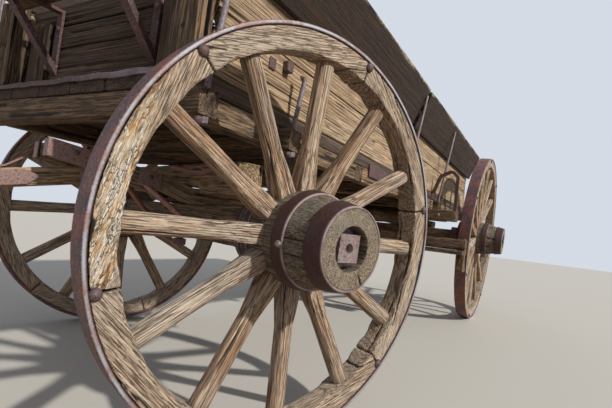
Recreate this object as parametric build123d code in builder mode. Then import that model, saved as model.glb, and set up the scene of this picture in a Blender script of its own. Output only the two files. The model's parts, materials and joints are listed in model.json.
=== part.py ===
# Old wooden farm and freight wagon with flared sides, standing with its tongue on the ground.
# Millimetres. +X forward, +Y to the wagon's left, +Z up.
# The origin is on the ground, midway between the axles. The front gear rests turned to the right.
from build123d import *
from math import asin, atan2, cos, hypot, radians, sin, tan
import os

os.makedirs("parts", exist_ok=True)

# Running gear
WHEELBASE = 2620.0
STEER_LOCK = 18.4            # degrees that the front gear turns to each side
STEER_AT_REST = -STEER_LOCK  # seen from above; minus turns the front gear to the right
CAMBER = 2.5                 # degrees; each wheel's top leans outboard, as its spokes are dished
FRONT_TRACK = 1530.0         # between the outboard edges of the two tyres
REAR_TRACK = 1584.0
FRONT_RADIUS = 560.0
REAR_RADIUS = 668.0
TYRE_WIDTH = 80.0
TYRE_THICK = 13.0
FELLOE_DEPTH = 59.0          # radial
FELLOE_WIDTH = 74.0
FELLOE_JOINT = 1.2           # open joint between two felloes
FRONT_SPOKES = 12
REAR_SPOKES = 14
SPOKES_PER_FELLOE = 2
DISH = 24.0                  # how far inboard of the rim the spokes stand in the hub

# Hub, measured from the wheel's outboard plane, plus is outboard
HUB_FRONT = 156.0
HUB_REAR = -196.0
HUB_BELLY_FRONT = 4.0
HUB_BELLY_REAR = -128.0
HUB_NOSE_R = 100.0
HUB_BELLY_R = 131.0
HUB_TAIL_R = 112.0
BAND_THICK = 6.0
TAIL_BAND = 34.0             # width of each band, from the tail to the nose
REAR_BELLY_BAND = 26.0
FRONT_BELLY_BAND = 37.0
NOSE_BAND = 52.0
BORE_R = 36.0
NUT_POCKET_R = 56.0
NUT_POCKET_DEPTH = 44.0
NUT_SIDE = 70.0
NUT_THICK = 24.0
NUT_HOLE_R = 13.0            # in the arm's end, open in the middle of the nut
NUT_HOLE_DEPTH = 16.0
WASHER_R = 50.0
WASHER_THICK = 4.0
COLLAR_R = 62.0              # the arm's shoulder between hub and axle
COLLAR_LENGTH = 60.0

# Spoke section, in the wheel's plane by along its axle
SPOKE_AT_HUB = (58.0, 62.0)
SPOKE_AT_WAIST = (48.0, 46.0)
SPOKE_AT_RIM = (52.0, 48.0)
SPOKE_WAIST = 0.35           # of the way from hub to rim
SPOKE_CORNER = 0.24          # how much of its thickness a corner loses
SPOKE_SPARE = 12.0           # a spoke's loft runs past its seats by this and is then cut to them

# Fits
SEAT = 0.3                   # a piece lies this far off the curved seat that carries it
RUN_FIT = 0.5                # radial clearance of a turning fit
WEAR_GAP = 5.0               # between timbers that turn on each other

# Box
BOX_HALF_WIDTH = 500.0
BOX_FRONT = 525.0            # ahead of the front axle
BOX_REAR = 680.0             # behind the rear axle
FLOOR_TOP = 955.0
FLOOR_THICK = 50.0
FLOOR_PLANKS = 6
PLANK_GAP = 3.0
SILL_HEIGHT = 75.0
SILL_WIDTH = 70.0
SILL_REACH = 45.0            # how far past the floor a cross sill with rods reaches
SIDE_SILL_WIDTH = 60.0
SIDE_THICK = 32.0
SIDE_BOARDS = (175.0, 138.0)  # heights, from the floor up
BOARD_GAP = 2.0
FLARE_OUT = 112.0
FLARE_UP = 207.0
FLARE_THICK = 26.0
FLARE_JOINT = 1240.0         # behind the front axle, where two flare boards meet
POST_WIDTH = 100.0
POST_DEPTH = 60.0
HEADBOARD_BOARDS = (150.0, 80.0, 78.0)
HEADBOARD_THICK = 28.0
HEADBOARD_SETBACK = 85.0
CLEAT = (115.0, 20.0, 250.0)  # across, thick and high; one beside each post, on the headboard
FLOOR_STRAP = (6.0, 26.0)    # thick and high, along the floor's front edge
STRAP_PROUD = 5.0            # how far it stands above the floor
# Cross sills: distance ahead of the axle, and how much is left of its left and its right flare rod
FRONT_SILLS = ((490.0, 1, 1), (80.0, 0.30, 1), (-560.0, 0, 0), (-1200.0, 1, 1))
REAR_SILLS = ((570.0, 1, 1), (-130.0, 0, 0), (-600.0, 1, 1))
ROD_R = 8.0
ROD_OUT = 28.0               # from the floor's edge
ROD_BEND = 20.0              # above the sill, where the rod starts to lean out
ROD_CURVE = 60.0             # radius of that bend
ROD_HEAD = 0.8               # how far up the flare board it reaches
NUT_R = 17.0
NUT_HIGH = 16.0

# Timbers under the box
BOLSTER_WIDTH = 105.0
BOLSTER_LENGTH = 960.0
AXLE_WIDTH = 100.0
AXLE_HEIGHT = 108.0
FRONT_AXLE_HEIGHT = 122.0
FRONT_AXLE_TOP = 626.0
HOUND_WIDTH = 58.0
HOUND_HEIGHT = 62.0
HOUND_NOSE = (515.0, 91.0, 56.0)  # front end: ahead of the axle, above the axle's top, and its height
HOUND_BEND = (140.0, 34.0)   # where the rising stretch begins: ahead of the axle, above the axle's top
HOUND_TAIL = 60.0            # behind the sway bar
SAND_BOARD_LOW = 665.0
SAND_BOARD_TOP = 780.0
SAND_BOARD_LENGTH = 900.0
REACH_WIDTH = 76.0
REACH_HEIGHT = 60.0
REACH_NOSE = 60.0            # ahead of the front axle
REACH_TAIL = 260.0           # behind the rear axle
REACH_FLAT_FRONT = 700.0     # behind the front axle, where the reach starts to rise
REACH_FLAT_REAR = 200.0      # ahead of the rear axle, where it lies flat again
KINGPIN_R = 14.0
KINGPIN_NUT = (26.0, 24.0)   # radius and height
KINGPIN_BELOW = 40.0         # how far the pin stands out under the axle
SWAY_BAR = (64.0, 700.0, 44.0)  # along, across and high
SWAY_BAR_BACK = 470.0        # behind the front axle
PLATE_THICK = 5.0            # irons on the hounds and the tongue
NOSE_PLATE = 120.0           # length of the iron round a hound's front end
SIDE_PLATE = (150.0, 84.0)   # the second iron: its rear end ahead of the axle, and its length
PLATE_INSET = 2.0            # how far the second iron stays inside the hound's edges
JAW_THICK = 8.0              # irons that hang from the hounds and carry the tongue's pin
JAW_WIDTH = 50.0

# Tongue
TONGUE_LENGTH = 3300.0
TONGUE_WIDTH = 72.0
TONGUE_HEEL = 60.0           # behind its pin
TONGUE_ROOT = 64.0           # height at the hounds
TONGUE_TAPER_START = 500.0   # ahead of its pin
TONGUE_TIP_R = 27.0
TONGUE_TIP_LENGTH = 130.0    # round, for the neck yoke's ring
TONGUE_PIVOT = 380.0         # ahead of the front axle
TONGUE_PIVOT_Z = 680.0
TONGUE_PIN_R = 12.0
TONGUE_PLATE = (135.0, 760.0, 46.0)  # iron on each side: its two pointed ends from the pin, and its height
TONGUE_PLATE_POINT = 40.0
HAMMER_STRAP = (34.0, 6.0)   # width and thickness of the bent iron on top of the tongue
# Strap on the tongue: distances from the pin, and how far it is lifted off the tongue there
HAMMER_LINE = ((175.0, 26.0), (225.0, 2.0), (320.0, 0.0), (400.0, 46.0))
HAMMER_LUG = ((235.0, 0.0), (290.0, 0.0), (248.0, 68.0))  # the upright iron on it, the same way
STRAP_BEND = 30.0

# Brake on the rear wheels
SHOE_GAP = 8.0
SHOE_WIDTH = 84.0
SHOE_THICK = 48.0
SHOE_HEIGHT = 235.0
SHOE_SET = 20.0              # how far the shoe's middle lies ahead of its face
SHOE_DROP = 70.0             # how far the shoe's middle lies below the beam's
BRAKE_BEAM = (74.0, 76.0)    # along by high
BRAKE_BEAM_Z = 592.0
BRAKE_PLANK = (150.0, 30.0)  # along by high, under the beam
HANGER = (8.0, 36.0)         # thick and wide
BRAKE_BLOCK = (86.0, 255.0, 80.0)  # the timber under the side that carries the lever: along, across, high
BRAKE_BLOCK_IN = 55.0        # its inner end, inside the floor's edge
LEVER_BAR = 22.0
LEVER_BEND = 24.0
LEVER_SHOULDER = 120.0       # above the floor, where its legs bend in
LEVER_TOP = 158.0
LEVER_SLOPE = 45.0           # how far in from each leg its bend reaches
LEVER_FOOT = 10.0            # how far below the floor the inner leg ends, on the box's side

FRONT_X = WHEELBASE / 2
REAR_X = -WHEELBASE / 2
SILL_TOP = FLOOR_TOP - FLOOR_THICK
SILL_LOW = SILL_TOP - SILL_HEIGHT


def save(piece, node):
    """Label a finished piece and write it under its node name."""
    piece.part.label = node
    export_step(piece.part, f"parts/{node}.step")


def turned(vector):
    """A direction of the straight front gear, turned to its rest angle."""
    c, s = cos(radians(STEER_AT_REST)), sin(radians(STEER_AT_REST))
    return Vector(vector.X * c - vector.Y * s, vector.X * s + vector.Y * c, vector.Z)


def on_gear(plane):
    """A plane given from the kingpin for the straight front gear, turned with it to rest."""
    return Plane(origin=turned(plane.origin) + Vector(FRONT_X, 0, 0), x_dir=turned(plane.x_dir),
                 z_dir=turned(plane.z_dir))


def wheel_plane(centre_x, side, radius, track, steered):
    """The wheel's outboard plane. Its z axis runs out along the axle, its y axis points up."""
    camber = radians(CAMBER)
    plane = Plane(origin=(centre_x, side * track / 2, radius * cos(camber)), x_dir=(-side, 0, 0),
                  z_dir=(0, side * cos(camber), -sin(camber)))
    return on_gear(plane) if steered else plane


def section(plane, width, depth, corner):
    """One spoke section: a rectangle with its corners cut off."""
    with BuildSketch(plane) as sketch:
        Rectangle(width, depth)
        chamfer(sketch.vertices(), corner)
    return sketch.sketch


def build_wheel(name, plane, radius, spokes, turn):
    """One wooden wheel, turned by an angle: tyre, felloes, spokes, hub and the iron bands on the hub."""
    rim_middle = -TYRE_WIDTH / 2
    felloe_out = radius - TYRE_THICK
    felloe_in = felloe_out - FELLOE_DEPTH
    lower = plane.offset(-TYRE_WIDTH)

    with BuildPart() as tyre:
        with BuildSketch(lower):
            Circle(radius)
            Circle(felloe_out, mode=Mode.SUBTRACT)
        extrude(amount=TYRE_WIDTH)
    save(tyre, f"{name}_tyre")

    felloe_count = spokes // SPOKES_PER_FELLOE
    with BuildPart() as felloes:
        with BuildSketch(plane.offset(rim_middle - FELLOE_WIDTH / 2)):
            Circle(felloe_out)
            Circle(felloe_in, mode=Mode.SUBTRACT)
            with PolarLocations(felloe_in + FELLOE_DEPTH / 2, felloe_count, start_angle=turn):
                Rectangle(2 * FELLOE_DEPTH, FELLOE_JOINT, mode=Mode.SUBTRACT)
        extrude(amount=FELLOE_WIDTH)
    save(felloes, f"{name}_felloes")

    hub_spoke_plane = rim_middle - DISH
    first = HUB_BELLY_R - SPOKE_SPARE
    last = felloe_in - SEAT
    with BuildPart() as spoke_set:
        for index in range(spokes):
            angle = radians(turn + (index + 0.5) * 360 / spokes)
            across = plane.x_dir * cos(angle) + plane.y_dir * sin(angle)
            sections = []
            sizes = (SPOKE_AT_HUB, SPOKE_AT_WAIST, SPOKE_AT_RIM)
            for share, (width, depth) in zip((0, SPOKE_WAIST, 1), sizes):
                along = first + share * (last + SPOKE_SPARE - first)
                height = hub_spoke_plane + share * (rim_middle - hub_spoke_plane)
                centre = plane.origin + across * along + plane.z_dir * height
                spot = Plane(origin=centre, x_dir=plane.z_dir.cross(across), z_dir=across)
                sections.append(section(spot, width, depth, min(width, depth) * SPOKE_CORNER))
            loft(sections, ruled=True)
        with BuildSketch(plane.offset(-2 * TYRE_WIDTH)):
            Circle(last)
            Circle(HUB_BELLY_R + SEAT, mode=Mode.SUBTRACT)
        extrude(amount=3 * TYRE_WIDTH, mode=Mode.INTERSECT)
    save(spoke_set, f"{name}_spokes")

    # Hub half section: distance along the axle and radius
    hub_profile = ((HUB_REAR, HUB_TAIL_R), (HUB_BELLY_REAR, HUB_BELLY_R), (HUB_BELLY_FRONT, HUB_BELLY_R),
                   (HUB_FRONT, HUB_NOSE_R))
    axle_line = Axis(plane.origin, plane.z_dir)
    half = Plane(origin=plane.origin, x_dir=plane.x_dir, z_dir=plane.y_dir * -1)
    with BuildPart() as hub:
        with BuildSketch(half):
            with BuildLine():
                pocket = HUB_FRONT - NUT_POCKET_DEPTH
                corners = [(BORE_R, HUB_REAR)]
                corners += [(r, a) for a, r in hub_profile]
                corners += [(NUT_POCKET_R, HUB_FRONT), (NUT_POCKET_R, pocket), (BORE_R, pocket)]
                Polyline(*corners, close=True)
            make_face()
        revolve(axis=axle_line)
    save(hub, f"{name}_hub")

    def hub_radius(a):
        for (a0, r0), (a1, r1) in zip(hub_profile, hub_profile[1:]):
            if a0 <= a <= a1:
                return r0 + (r1 - r0) * (a - a0) / (a1 - a0)

    # Bands: rear edge and front edge along the axle
    bands = ((HUB_REAR, HUB_REAR + TAIL_BAND), (HUB_BELLY_REAR, HUB_BELLY_REAR + REAR_BELLY_BAND),
             (HUB_BELLY_FRONT, HUB_BELLY_FRONT + FRONT_BELLY_BAND), (HUB_FRONT - NOSE_BAND, HUB_FRONT))
    with BuildPart() as band_set:
        with BuildSketch(half):
            for rear, front in bands:
                with BuildLine():
                    inner_rear = hub_radius(rear) + SEAT
                    inner_front = hub_radius(front) + SEAT
                    Polyline((inner_rear, rear), (inner_rear + BAND_THICK, rear),
                             (inner_front + BAND_THICK, front), (inner_front, front), close=True)
                make_face()
        revolve(axis=axle_line)
    save(band_set, f"{name}_hub_bands")


# Name, centre, side, radius, track, spokes, whether it steers, and the angle of its first felloe joint
WHEELS = (("front_left_wheel", FRONT_X, 1, FRONT_RADIUS, FRONT_TRACK, FRONT_SPOKES, True, 15.0),
          ("front_right_wheel", FRONT_X, -1, FRONT_RADIUS, FRONT_TRACK, FRONT_SPOKES, True, 11.5),
          ("rear_left_wheel", REAR_X, 1, REAR_RADIUS, REAR_TRACK, REAR_SPOKES, False, 0.0),
          ("rear_right_wheel", REAR_X, -1, REAR_RADIUS, REAR_TRACK, REAR_SPOKES, False, 0.0))


def gear_wheel_plane(side):
    """The straight front wheel's plane in the front gear's own coordinates, turned to rest."""
    return wheel_plane(0, side, FRONT_RADIUS, FRONT_TRACK, True)


for wheel_name, centre_x, side, radius, track, spokes, steered, turn in WHEELS:
    place = gear_wheel_plane(side) if steered else wheel_plane(centre_x, side, radius, track, False)
    build_wheel(wheel_name, place, radius, spokes, turn)


def build_skeins(name, planes):
    """The iron arms that the two wheels of one axle turn on, each with its washer and square nut."""
    washer_seat = HUB_FRONT - NUT_POCKET_DEPTH + WEAR_GAP
    nut_seat = washer_seat + WASHER_THICK
    with BuildPart() as arms:
        for plane in planes:
            with BuildSketch(plane.offset(HUB_REAR - COLLAR_LENGTH)):
                Circle(BORE_R - RUN_FIT)
            extrude(amount=washer_seat - HUB_REAR + COLLAR_LENGTH)
            with BuildSketch(plane.offset(washer_seat)):
                Circle(WASHER_R)
            extrude(amount=WASHER_THICK)
            with BuildSketch(plane.offset(nut_seat)):
                Rectangle(NUT_SIDE, NUT_SIDE)
            extrude(amount=NUT_THICK)
            with BuildSketch(plane.offset(nut_seat + NUT_THICK - NUT_HOLE_DEPTH)):
                Circle(NUT_HOLE_R)
            extrude(amount=NUT_HOLE_DEPTH, mode=Mode.SUBTRACT)
            with BuildSketch(plane.offset(HUB_REAR - COLLAR_LENGTH)):
                Circle(COLLAR_R)
            extrude(amount=COLLAR_LENGTH - WEAR_GAP)
    save(arms, name)


front_planes = [gear_wheel_plane(1), gear_wheel_plane(-1)]
rear_planes = [wheel_plane(REAR_X, 1, REAR_RADIUS, REAR_TRACK, False),
               wheel_plane(REAR_X, -1, REAR_RADIUS, REAR_TRACK, False)]
build_skeins("front_skeins", front_planes)
build_skeins("rear_skeins", rear_planes)


def axle_length(track):
    """Length of the wooden axle between the two arms' shoulders."""
    shoulder = track / 2 + (HUB_REAR - COLLAR_LENGTH) * cos(radians(CAMBER))
    return 2 * (shoulder - COLLAR_R * sin(radians(CAMBER)) - SEAT)


def timber(node, plane, length, width, height, cuts=()):
    """A straight squared timber centred on a plane's origin, with round holes through it."""
    with BuildPart() as beam:
        with BuildSketch(plane.offset(-height / 2)):
            Rectangle(length, width)
            for x, y, r in cuts:
                with Locations((x, y)):
                    Circle(r, mode=Mode.SUBTRACT)
        extrude(amount=height)
        chamfer(beam.edges().filter_by(lambda e: abs(e.length - length) < 1), 6)
    save(beam, node)


# Front gear: axle, hounds, sand board and sway bar, turned together about the kingpin
timber("front_axle", on_gear(Plane.XY.offset(FRONT_AXLE_TOP - FRONT_AXLE_HEIGHT / 2)), AXLE_WIDTH,
       axle_length(FRONT_TRACK), FRONT_AXLE_HEIGHT, ((0, 0, KINGPIN_R + RUN_FIT),))
hound_low = FRONT_AXLE_TOP
hound_top = hound_low + HOUND_HEIGHT
jaw_inner = TONGUE_WIDTH / 2 + WEAR_GAP
hound_inner = jaw_inner + JAW_THICK
nose_y = hound_inner + HOUND_WIDTH / 2
nose_x, nose_rise, nose_height = HOUND_NOSE
bend_x, bend_rise = HOUND_BEND
hound_rear = -SWAY_BAR_BACK - HOUND_TAIL
# Hound seen from above, its centre line: distance ahead of the axle and out from the middle
HOUND_LINE = ((hound_rear, 285.0), (-60.0, 170.0), (bend_x, nose_y), (nose_x, nose_y))


def hound_plan(plane, grow):
    """Both hounds seen from above, each wider by this much on each side."""
    half = HOUND_WIDTH / 2 + grow
    with BuildSketch(plane) as plan:
        for side in (1, -1):
            with BuildLine():
                outer = [(x, side * (y + half)) for x, y in HOUND_LINE]
                inner = [(x, side * (y - half)) for x, y in reversed(HOUND_LINE)]
                Polyline(*outer, *inner, close=True)
            make_face()
    return plan.sketch


def hound_edge(x, upper):
    """Height of a hound's lower or upper edge on its rising stretch, at a distance ahead of the axle."""
    share = (x - bend_x) / (nose_x - bend_x)
    low = hound_low + bend_rise + share * (nose_rise - bend_rise)
    return low + HOUND_HEIGHT + share * (nose_height - HOUND_HEIGHT) if upper else low


side_view = on_gear(Plane.XZ)
axle_front = AXLE_WIDTH / 2 + SEAT
with BuildPart() as front_hounds:
    extrude(hound_plan(on_gear(Plane.XY.offset(hound_low)), 0), amount=nose_rise + HOUND_HEIGHT)
    with BuildSketch(side_view.offset(-SWAY_BAR[1])):
        with BuildLine():
            Polyline((hound_rear, hound_low), (axle_front, hound_low), (bend_x, hound_edge(bend_x, False)),
                     (nose_x, hound_edge(nose_x, False)), (nose_x, hound_edge(nose_x, True)),
                     (bend_x, hound_edge(bend_x, True)), (axle_front, hound_top), (hound_rear, hound_top),
                     close=True)
        make_face()
    extrude(amount=2 * SWAY_BAR[1], mode=Mode.INTERSECT)
save(front_hounds, "front_hounds")

# The sand board is notched over the hounds, and wider over the reach, which swings under it
REACH_LOW = hound_low + WEAR_GAP
reach_top = REACH_LOW + REACH_HEIGHT
lock = radians(STEER_LOCK)
reach_notch = (REACH_WIDTH / 2 + WEAR_GAP) / cos(lock) + AXLE_WIDTH / 2 * tan(lock)
with BuildPart() as sand_board:
    with BuildSketch(on_gear(Plane.XY.offset(SAND_BOARD_LOW))):
        Rectangle(AXLE_WIDTH, SAND_BOARD_LENGTH)
        Circle(KINGPIN_R + RUN_FIT, mode=Mode.SUBTRACT)
    extrude(amount=SAND_BOARD_TOP - SAND_BOARD_LOW)
    chamfer(sand_board.edges().filter_by(lambda e: abs(e.length - SAND_BOARD_LENGTH) < 1), 6)
    extrude(hound_plan(on_gear(Plane.XY.offset(SAND_BOARD_LOW)), SEAT), amount=hound_top - SAND_BOARD_LOW,
            mode=Mode.SUBTRACT)
    with BuildSketch(on_gear(Plane.XY.offset(SAND_BOARD_LOW))):
        Rectangle(2 * AXLE_WIDTH, 2 * reach_notch)
    extrude(amount=reach_top + WEAR_GAP - SAND_BOARD_LOW, mode=Mode.SUBTRACT)
save(sand_board, "sand_board")

timber("sway_bar", on_gear(Plane((-SWAY_BAR_BACK, 0, hound_low - SWAY_BAR[2] / 2))), *SWAY_BAR)


def on_hound(plane, rear, front, inset):
    """The hound's side seen straight on, from one distance ahead of the axle to another."""
    with BuildSketch(plane) as patch:
        with BuildLine():
            Polyline((rear, hound_edge(rear, False) + inset),
                     (front, hound_edge(front, False) + inset),
                     (front, hound_edge(front, True) - inset),
                     (rear, hound_edge(rear, True) - inset),
                     close=True)
        make_face()
    return patch.sketch


# Irons on the hounds: a cap round each nose, a plate behind it, and the jaws that carry the tongue's pin
with BuildPart() as hound_irons:
    for side in (1, -1):
        outer_face = side * (nose_y + HOUND_WIDTH / 2)
        outer = side_view.offset(-outer_face - (PLATE_THICK if side > 0 else 0))
        extrude(on_hound(outer, nose_x - NOSE_PLATE, nose_x + PLATE_THICK, 0), amount=PLATE_THICK)
        plate_rear, plate_long = SIDE_PLATE
        extrude(on_hound(outer, plate_rear, plate_rear + plate_long, PLATE_INSET), amount=PLATE_THICK)
        cap_start = outer_face if side > 0 else -hound_inner
        extrude(on_hound(side_view.offset(-cap_start), nose_x, nose_x + PLATE_THICK, 0), amount=HOUND_WIDTH)
        jaw_start = side * (hound_inner if side > 0 else jaw_inner)
        with BuildSketch(side_view.offset(-jaw_start)):
            with Locations((TONGUE_PIVOT, TONGUE_PIVOT_Z)):
                Circle(JAW_WIDTH / 2)
            jaw_top = hound_edge(TONGUE_PIVOT - JAW_WIDTH / 2, True)
            with Locations((TONGUE_PIVOT, (TONGUE_PIVOT_Z + jaw_top) / 2)):
                Rectangle(JAW_WIDTH, jaw_top - TONGUE_PIVOT_Z)
            with Locations((TONGUE_PIVOT, TONGUE_PIVOT_Z)):
                Circle(TONGUE_PIN_R + SEAT, mode=Mode.SUBTRACT)
        extrude(amount=JAW_THICK)
save(hound_irons, "hound_irons")

# Tongue: pinned between the hounds, its round tip on the ground
tongue_slope = asin(TONGUE_PIVOT_Z / hypot(TONGUE_LENGTH, TONGUE_TIP_R)) - atan2(TONGUE_TIP_R, TONGUE_LENGTH)
tongue_plane = on_gear(Plane(origin=(TONGUE_PIVOT, 0, TONGUE_PIVOT_Z),
                             x_dir=(cos(tongue_slope), 0, -sin(tongue_slope)), z_dir=(0, -1, 0)))
tongue_square = TONGUE_LENGTH - TONGUE_TIP_LENGTH
with BuildPart() as tongue:
    with BuildSketch(tongue_plane.offset(-TONGUE_WIDTH / 2)):
        with BuildLine():
            Polyline((-TONGUE_HEEL, -TONGUE_ROOT / 2), (TONGUE_TAPER_START, -TONGUE_ROOT / 2),
                     (tongue_square, -TONGUE_TIP_R), (tongue_square, TONGUE_TIP_R),
                     (TONGUE_TAPER_START, TONGUE_ROOT / 2), (-TONGUE_HEEL, TONGUE_ROOT / 2), close=True)
        make_face()
        Circle(TONGUE_PIN_R + RUN_FIT, mode=Mode.SUBTRACT)
    extrude(amount=TONGUE_WIDTH)
    chamfer(tongue.edges().filter_by(lambda e: e.length > TONGUE_TAPER_START), 9)
    with BuildSketch(Plane(origin=tongue_plane.origin + tongue_plane.x_dir * tongue_square,
                           z_dir=tongue_plane.x_dir)):
        Circle(TONGUE_TIP_R)
    extrude(amount=TONGUE_TIP_LENGTH)
save(tongue, "tongue")

# Irons on the tongue: a pointed plate on each side and the bent strap on top
plate_rear, plate_front, plate_high = TONGUE_PLATE
strap_width, strap_thick = HAMMER_STRAP
top = TONGUE_ROOT / 2 + strap_thick / 2
with BuildPart() as tongue_irons:
    for start in (-TONGUE_WIDTH / 2 - PLATE_THICK, TONGUE_WIDTH / 2):
        with BuildSketch(tongue_plane.offset(start)):
            with BuildLine():
                Polyline((plate_rear, 0), (plate_rear + TONGUE_PLATE_POINT, -plate_high / 2),
                         (plate_front - TONGUE_PLATE_POINT, -plate_high / 2), (plate_front, 0),
                         (plate_front - TONGUE_PLATE_POINT, plate_high / 2),
                         (plate_rear + TONGUE_PLATE_POINT, plate_high / 2), close=True)
            make_face()
        extrude(amount=PLATE_THICK)
    with BuildSketch(tongue_plane.offset(-strap_width / 2)):
        with BuildLine():
            FilletPolyline(*[(x, top + lift) for x, lift in HAMMER_LINE], radius=STRAP_BEND)
        trace(line_width=strap_thick)
    extrude(amount=strap_width)
    with BuildSketch(tongue_plane.offset(-strap_thick)):
        with BuildLine():
            Polyline(*[(x, top + lift) for x, lift in HAMMER_LUG], close=True)
        make_face()
    extrude(amount=2 * strap_thick)
save(tongue_irons, "tongue_irons")

pin_half = hound_inner + WEAR_GAP
pin_plane = on_gear(Plane(origin=(TONGUE_PIVOT, 0, TONGUE_PIVOT_Z), z_dir=(0, -1, 0)))
with BuildPart() as tongue_pin:
    with BuildSketch(pin_plane.offset(-pin_half)):
        Circle(TONGUE_PIN_R)
    extrude(amount=2 * pin_half)
save(tongue_pin, "tongue_pin")

# Body timbers under the box
BOLSTER_LOW = SAND_BOARD_TOP + WEAR_GAP
kingpin_low = FRONT_AXLE_TOP - FRONT_AXLE_HEIGHT - KINGPIN_BELOW
timber("front_bolster", Plane((FRONT_X, 0, (BOLSTER_LOW + SILL_LOW) / 2)), BOLSTER_WIDTH, BOLSTER_LENGTH,
       SILL_LOW - BOLSTER_LOW, ((0, 0, KINGPIN_R + SEAT),))
REACH_FRONT = FRONT_X + REACH_NOSE
REACH_REAR = REAR_X - REACH_TAIL
with BuildPart() as kingpin:
    with BuildSketch(Plane((FRONT_X, 0, kingpin_low))):
        Circle(KINGPIN_R)
    extrude(amount=SILL_LOW - kingpin_low - SEAT)
    with BuildSketch(Plane((FRONT_X, 0, kingpin_low))):
        RegularPolygon(KINGPIN_NUT[0], 6)
    extrude(amount=KINGPIN_NUT[1])
save(kingpin, "kingpin")

rear_axle_top = REAR_RADIUS + AXLE_HEIGHT / 2 - 6
timber("rear_axle", Plane((REAR_X, 0, rear_axle_top - AXLE_HEIGHT / 2)), AXLE_WIDTH, axle_length(REAR_TRACK),
       AXLE_HEIGHT)

# The reach seen from the side: its lower edge
REACH_LINE = [(REACH_REAR, rear_axle_top), (REAR_X + REACH_FLAT_REAR, rear_axle_top),
              (FRONT_X - REACH_FLAT_FRONT, REACH_LOW), (REACH_FRONT, REACH_LOW)]
with BuildPart() as reach:
    with BuildSketch(Plane.XZ.offset(-REACH_WIDTH / 2)):
        with BuildLine():
            Polyline(*REACH_LINE, *[(x, z + REACH_HEIGHT) for x, z in reversed(REACH_LINE)], close=True)
        make_face()
    extrude(amount=REACH_WIDTH)
    with BuildSketch(Plane((FRONT_X, 0, REACH_LOW))):
        Circle(KINGPIN_R + RUN_FIT)
    extrude(amount=REACH_HEIGHT, mode=Mode.SUBTRACT)
save(reach, "reach")

rear_bolster_low = rear_axle_top + REACH_HEIGHT
timber("rear_bolster", Plane((REAR_X, 0, (rear_bolster_low + SILL_LOW) / 2)), BOLSTER_WIDTH, BOLSTER_LENGTH,
       SILL_LOW - rear_bolster_low)

# Hound centre line: distance ahead of the rear axle and out from the middle
rear_hound_nose = REACH_WIDTH / 2 + HOUND_WIDTH / 2 + SEAT
REAR_HOUND_LINE = ((-150.0, 330.0), (60.0, 300.0), (760.0, rear_hound_nose))
with BuildPart() as rear_hounds:
    with BuildSketch(Plane.XY.offset(rear_axle_top)):
        for side in (1, -1):
            with BuildLine():
                outer = [(REAR_X + x, side * (y + HOUND_WIDTH / 2)) for x, y in REAR_HOUND_LINE]
                inner = [(REAR_X + x, side * (y - HOUND_WIDTH / 2)) for x, y in reversed(REAR_HOUND_LINE)]
                Polyline(*outer, *inner, close=True)
            make_face()
    extrude(amount=REACH_HEIGHT)
save(rear_hounds, "rear_hounds")

# Box
box_front = FRONT_X + BOX_FRONT
box_rear = REAR_X - BOX_REAR
box_length = box_front - box_rear
box_middle = (box_front + box_rear) / 2
plank_width = (2 * BOX_HALF_WIDTH - (FLOOR_PLANKS - 1) * PLANK_GAP) / FLOOR_PLANKS
with BuildPart() as floor_planks:
    with BuildSketch(Plane((box_middle, 0, SILL_TOP))):
        with GridLocations(0, plank_width + PLANK_GAP, 1, FLOOR_PLANKS):
            Rectangle(box_length, plank_width)
    extrude(amount=FLOOR_THICK)
save(floor_planks, "floor_planks")

# Each cross sill's place, and its left and right rods
SILLS = [(FRONT_X + ahead, left, right) for ahead, left, right in FRONT_SILLS]
SILLS += [(REAR_X + ahead, left, right) for ahead, left, right in REAR_SILLS]
rod_foot = BOX_HALF_WIDTH + ROD_OUT
with BuildPart() as cross_sills:
    with BuildSketch(Plane.XY.offset(SILL_LOW)):
        for x, left, right in SILLS:
            reach_out = SILL_REACH if right else 0
            with Locations((x, 0)):
                Rectangle(SILL_WIDTH, 2 * (BOX_HALF_WIDTH + reach_out))
                if right:
                    with GridLocations(0, 2 * rod_foot, 1, 2):
                        Circle(ROD_R + SEAT, mode=Mode.SUBTRACT)
    extrude(amount=SILL_HEIGHT)
save(cross_sills, "cross_sills")

with BuildPart() as side_sills:
    with BuildSketch(Plane.XY.offset(SILL_LOW)):
        for (front, *_), (back, *_) in zip(SILLS, SILLS[1:]):
            with Locations(((front + back) / 2, 0)):
                with GridLocations(0, 2 * BOX_HALF_WIDTH - SIDE_SILL_WIDTH, 1, 2):
                    Rectangle(front - back - SILL_WIDTH, SIDE_SILL_WIDTH)
    extrude(amount=SILL_HEIGHT)
save(side_sills, "side_sills")

strap_thick, strap_high = FLOOR_STRAP
with BuildPart() as floor_strap:
    with BuildSketch(Plane((box_front + strap_thick / 2, 0, FLOOR_TOP + STRAP_PROUD - strap_high))):
        Rectangle(strap_thick, 2 * BOX_HALF_WIDTH)
    extrude(amount=strap_high)
save(floor_strap, "floor_strap")

post_front = box_front
side_front = post_front - POST_DEPTH - 1
with BuildPart() as side_boards:
    low = FLOOR_TOP
    for board in SIDE_BOARDS:
        with BuildSketch(Plane(((side_front + box_rear) / 2, 0, low))):
            with GridLocations(0, 2 * BOX_HALF_WIDTH - SIDE_THICK, 1, 2):
                Rectangle(side_front - box_rear, SIDE_THICK)
        extrude(amount=board)
        low += board + BOARD_GAP
save(side_boards, "side_boards")
side_top = low - BOARD_GAP

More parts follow.
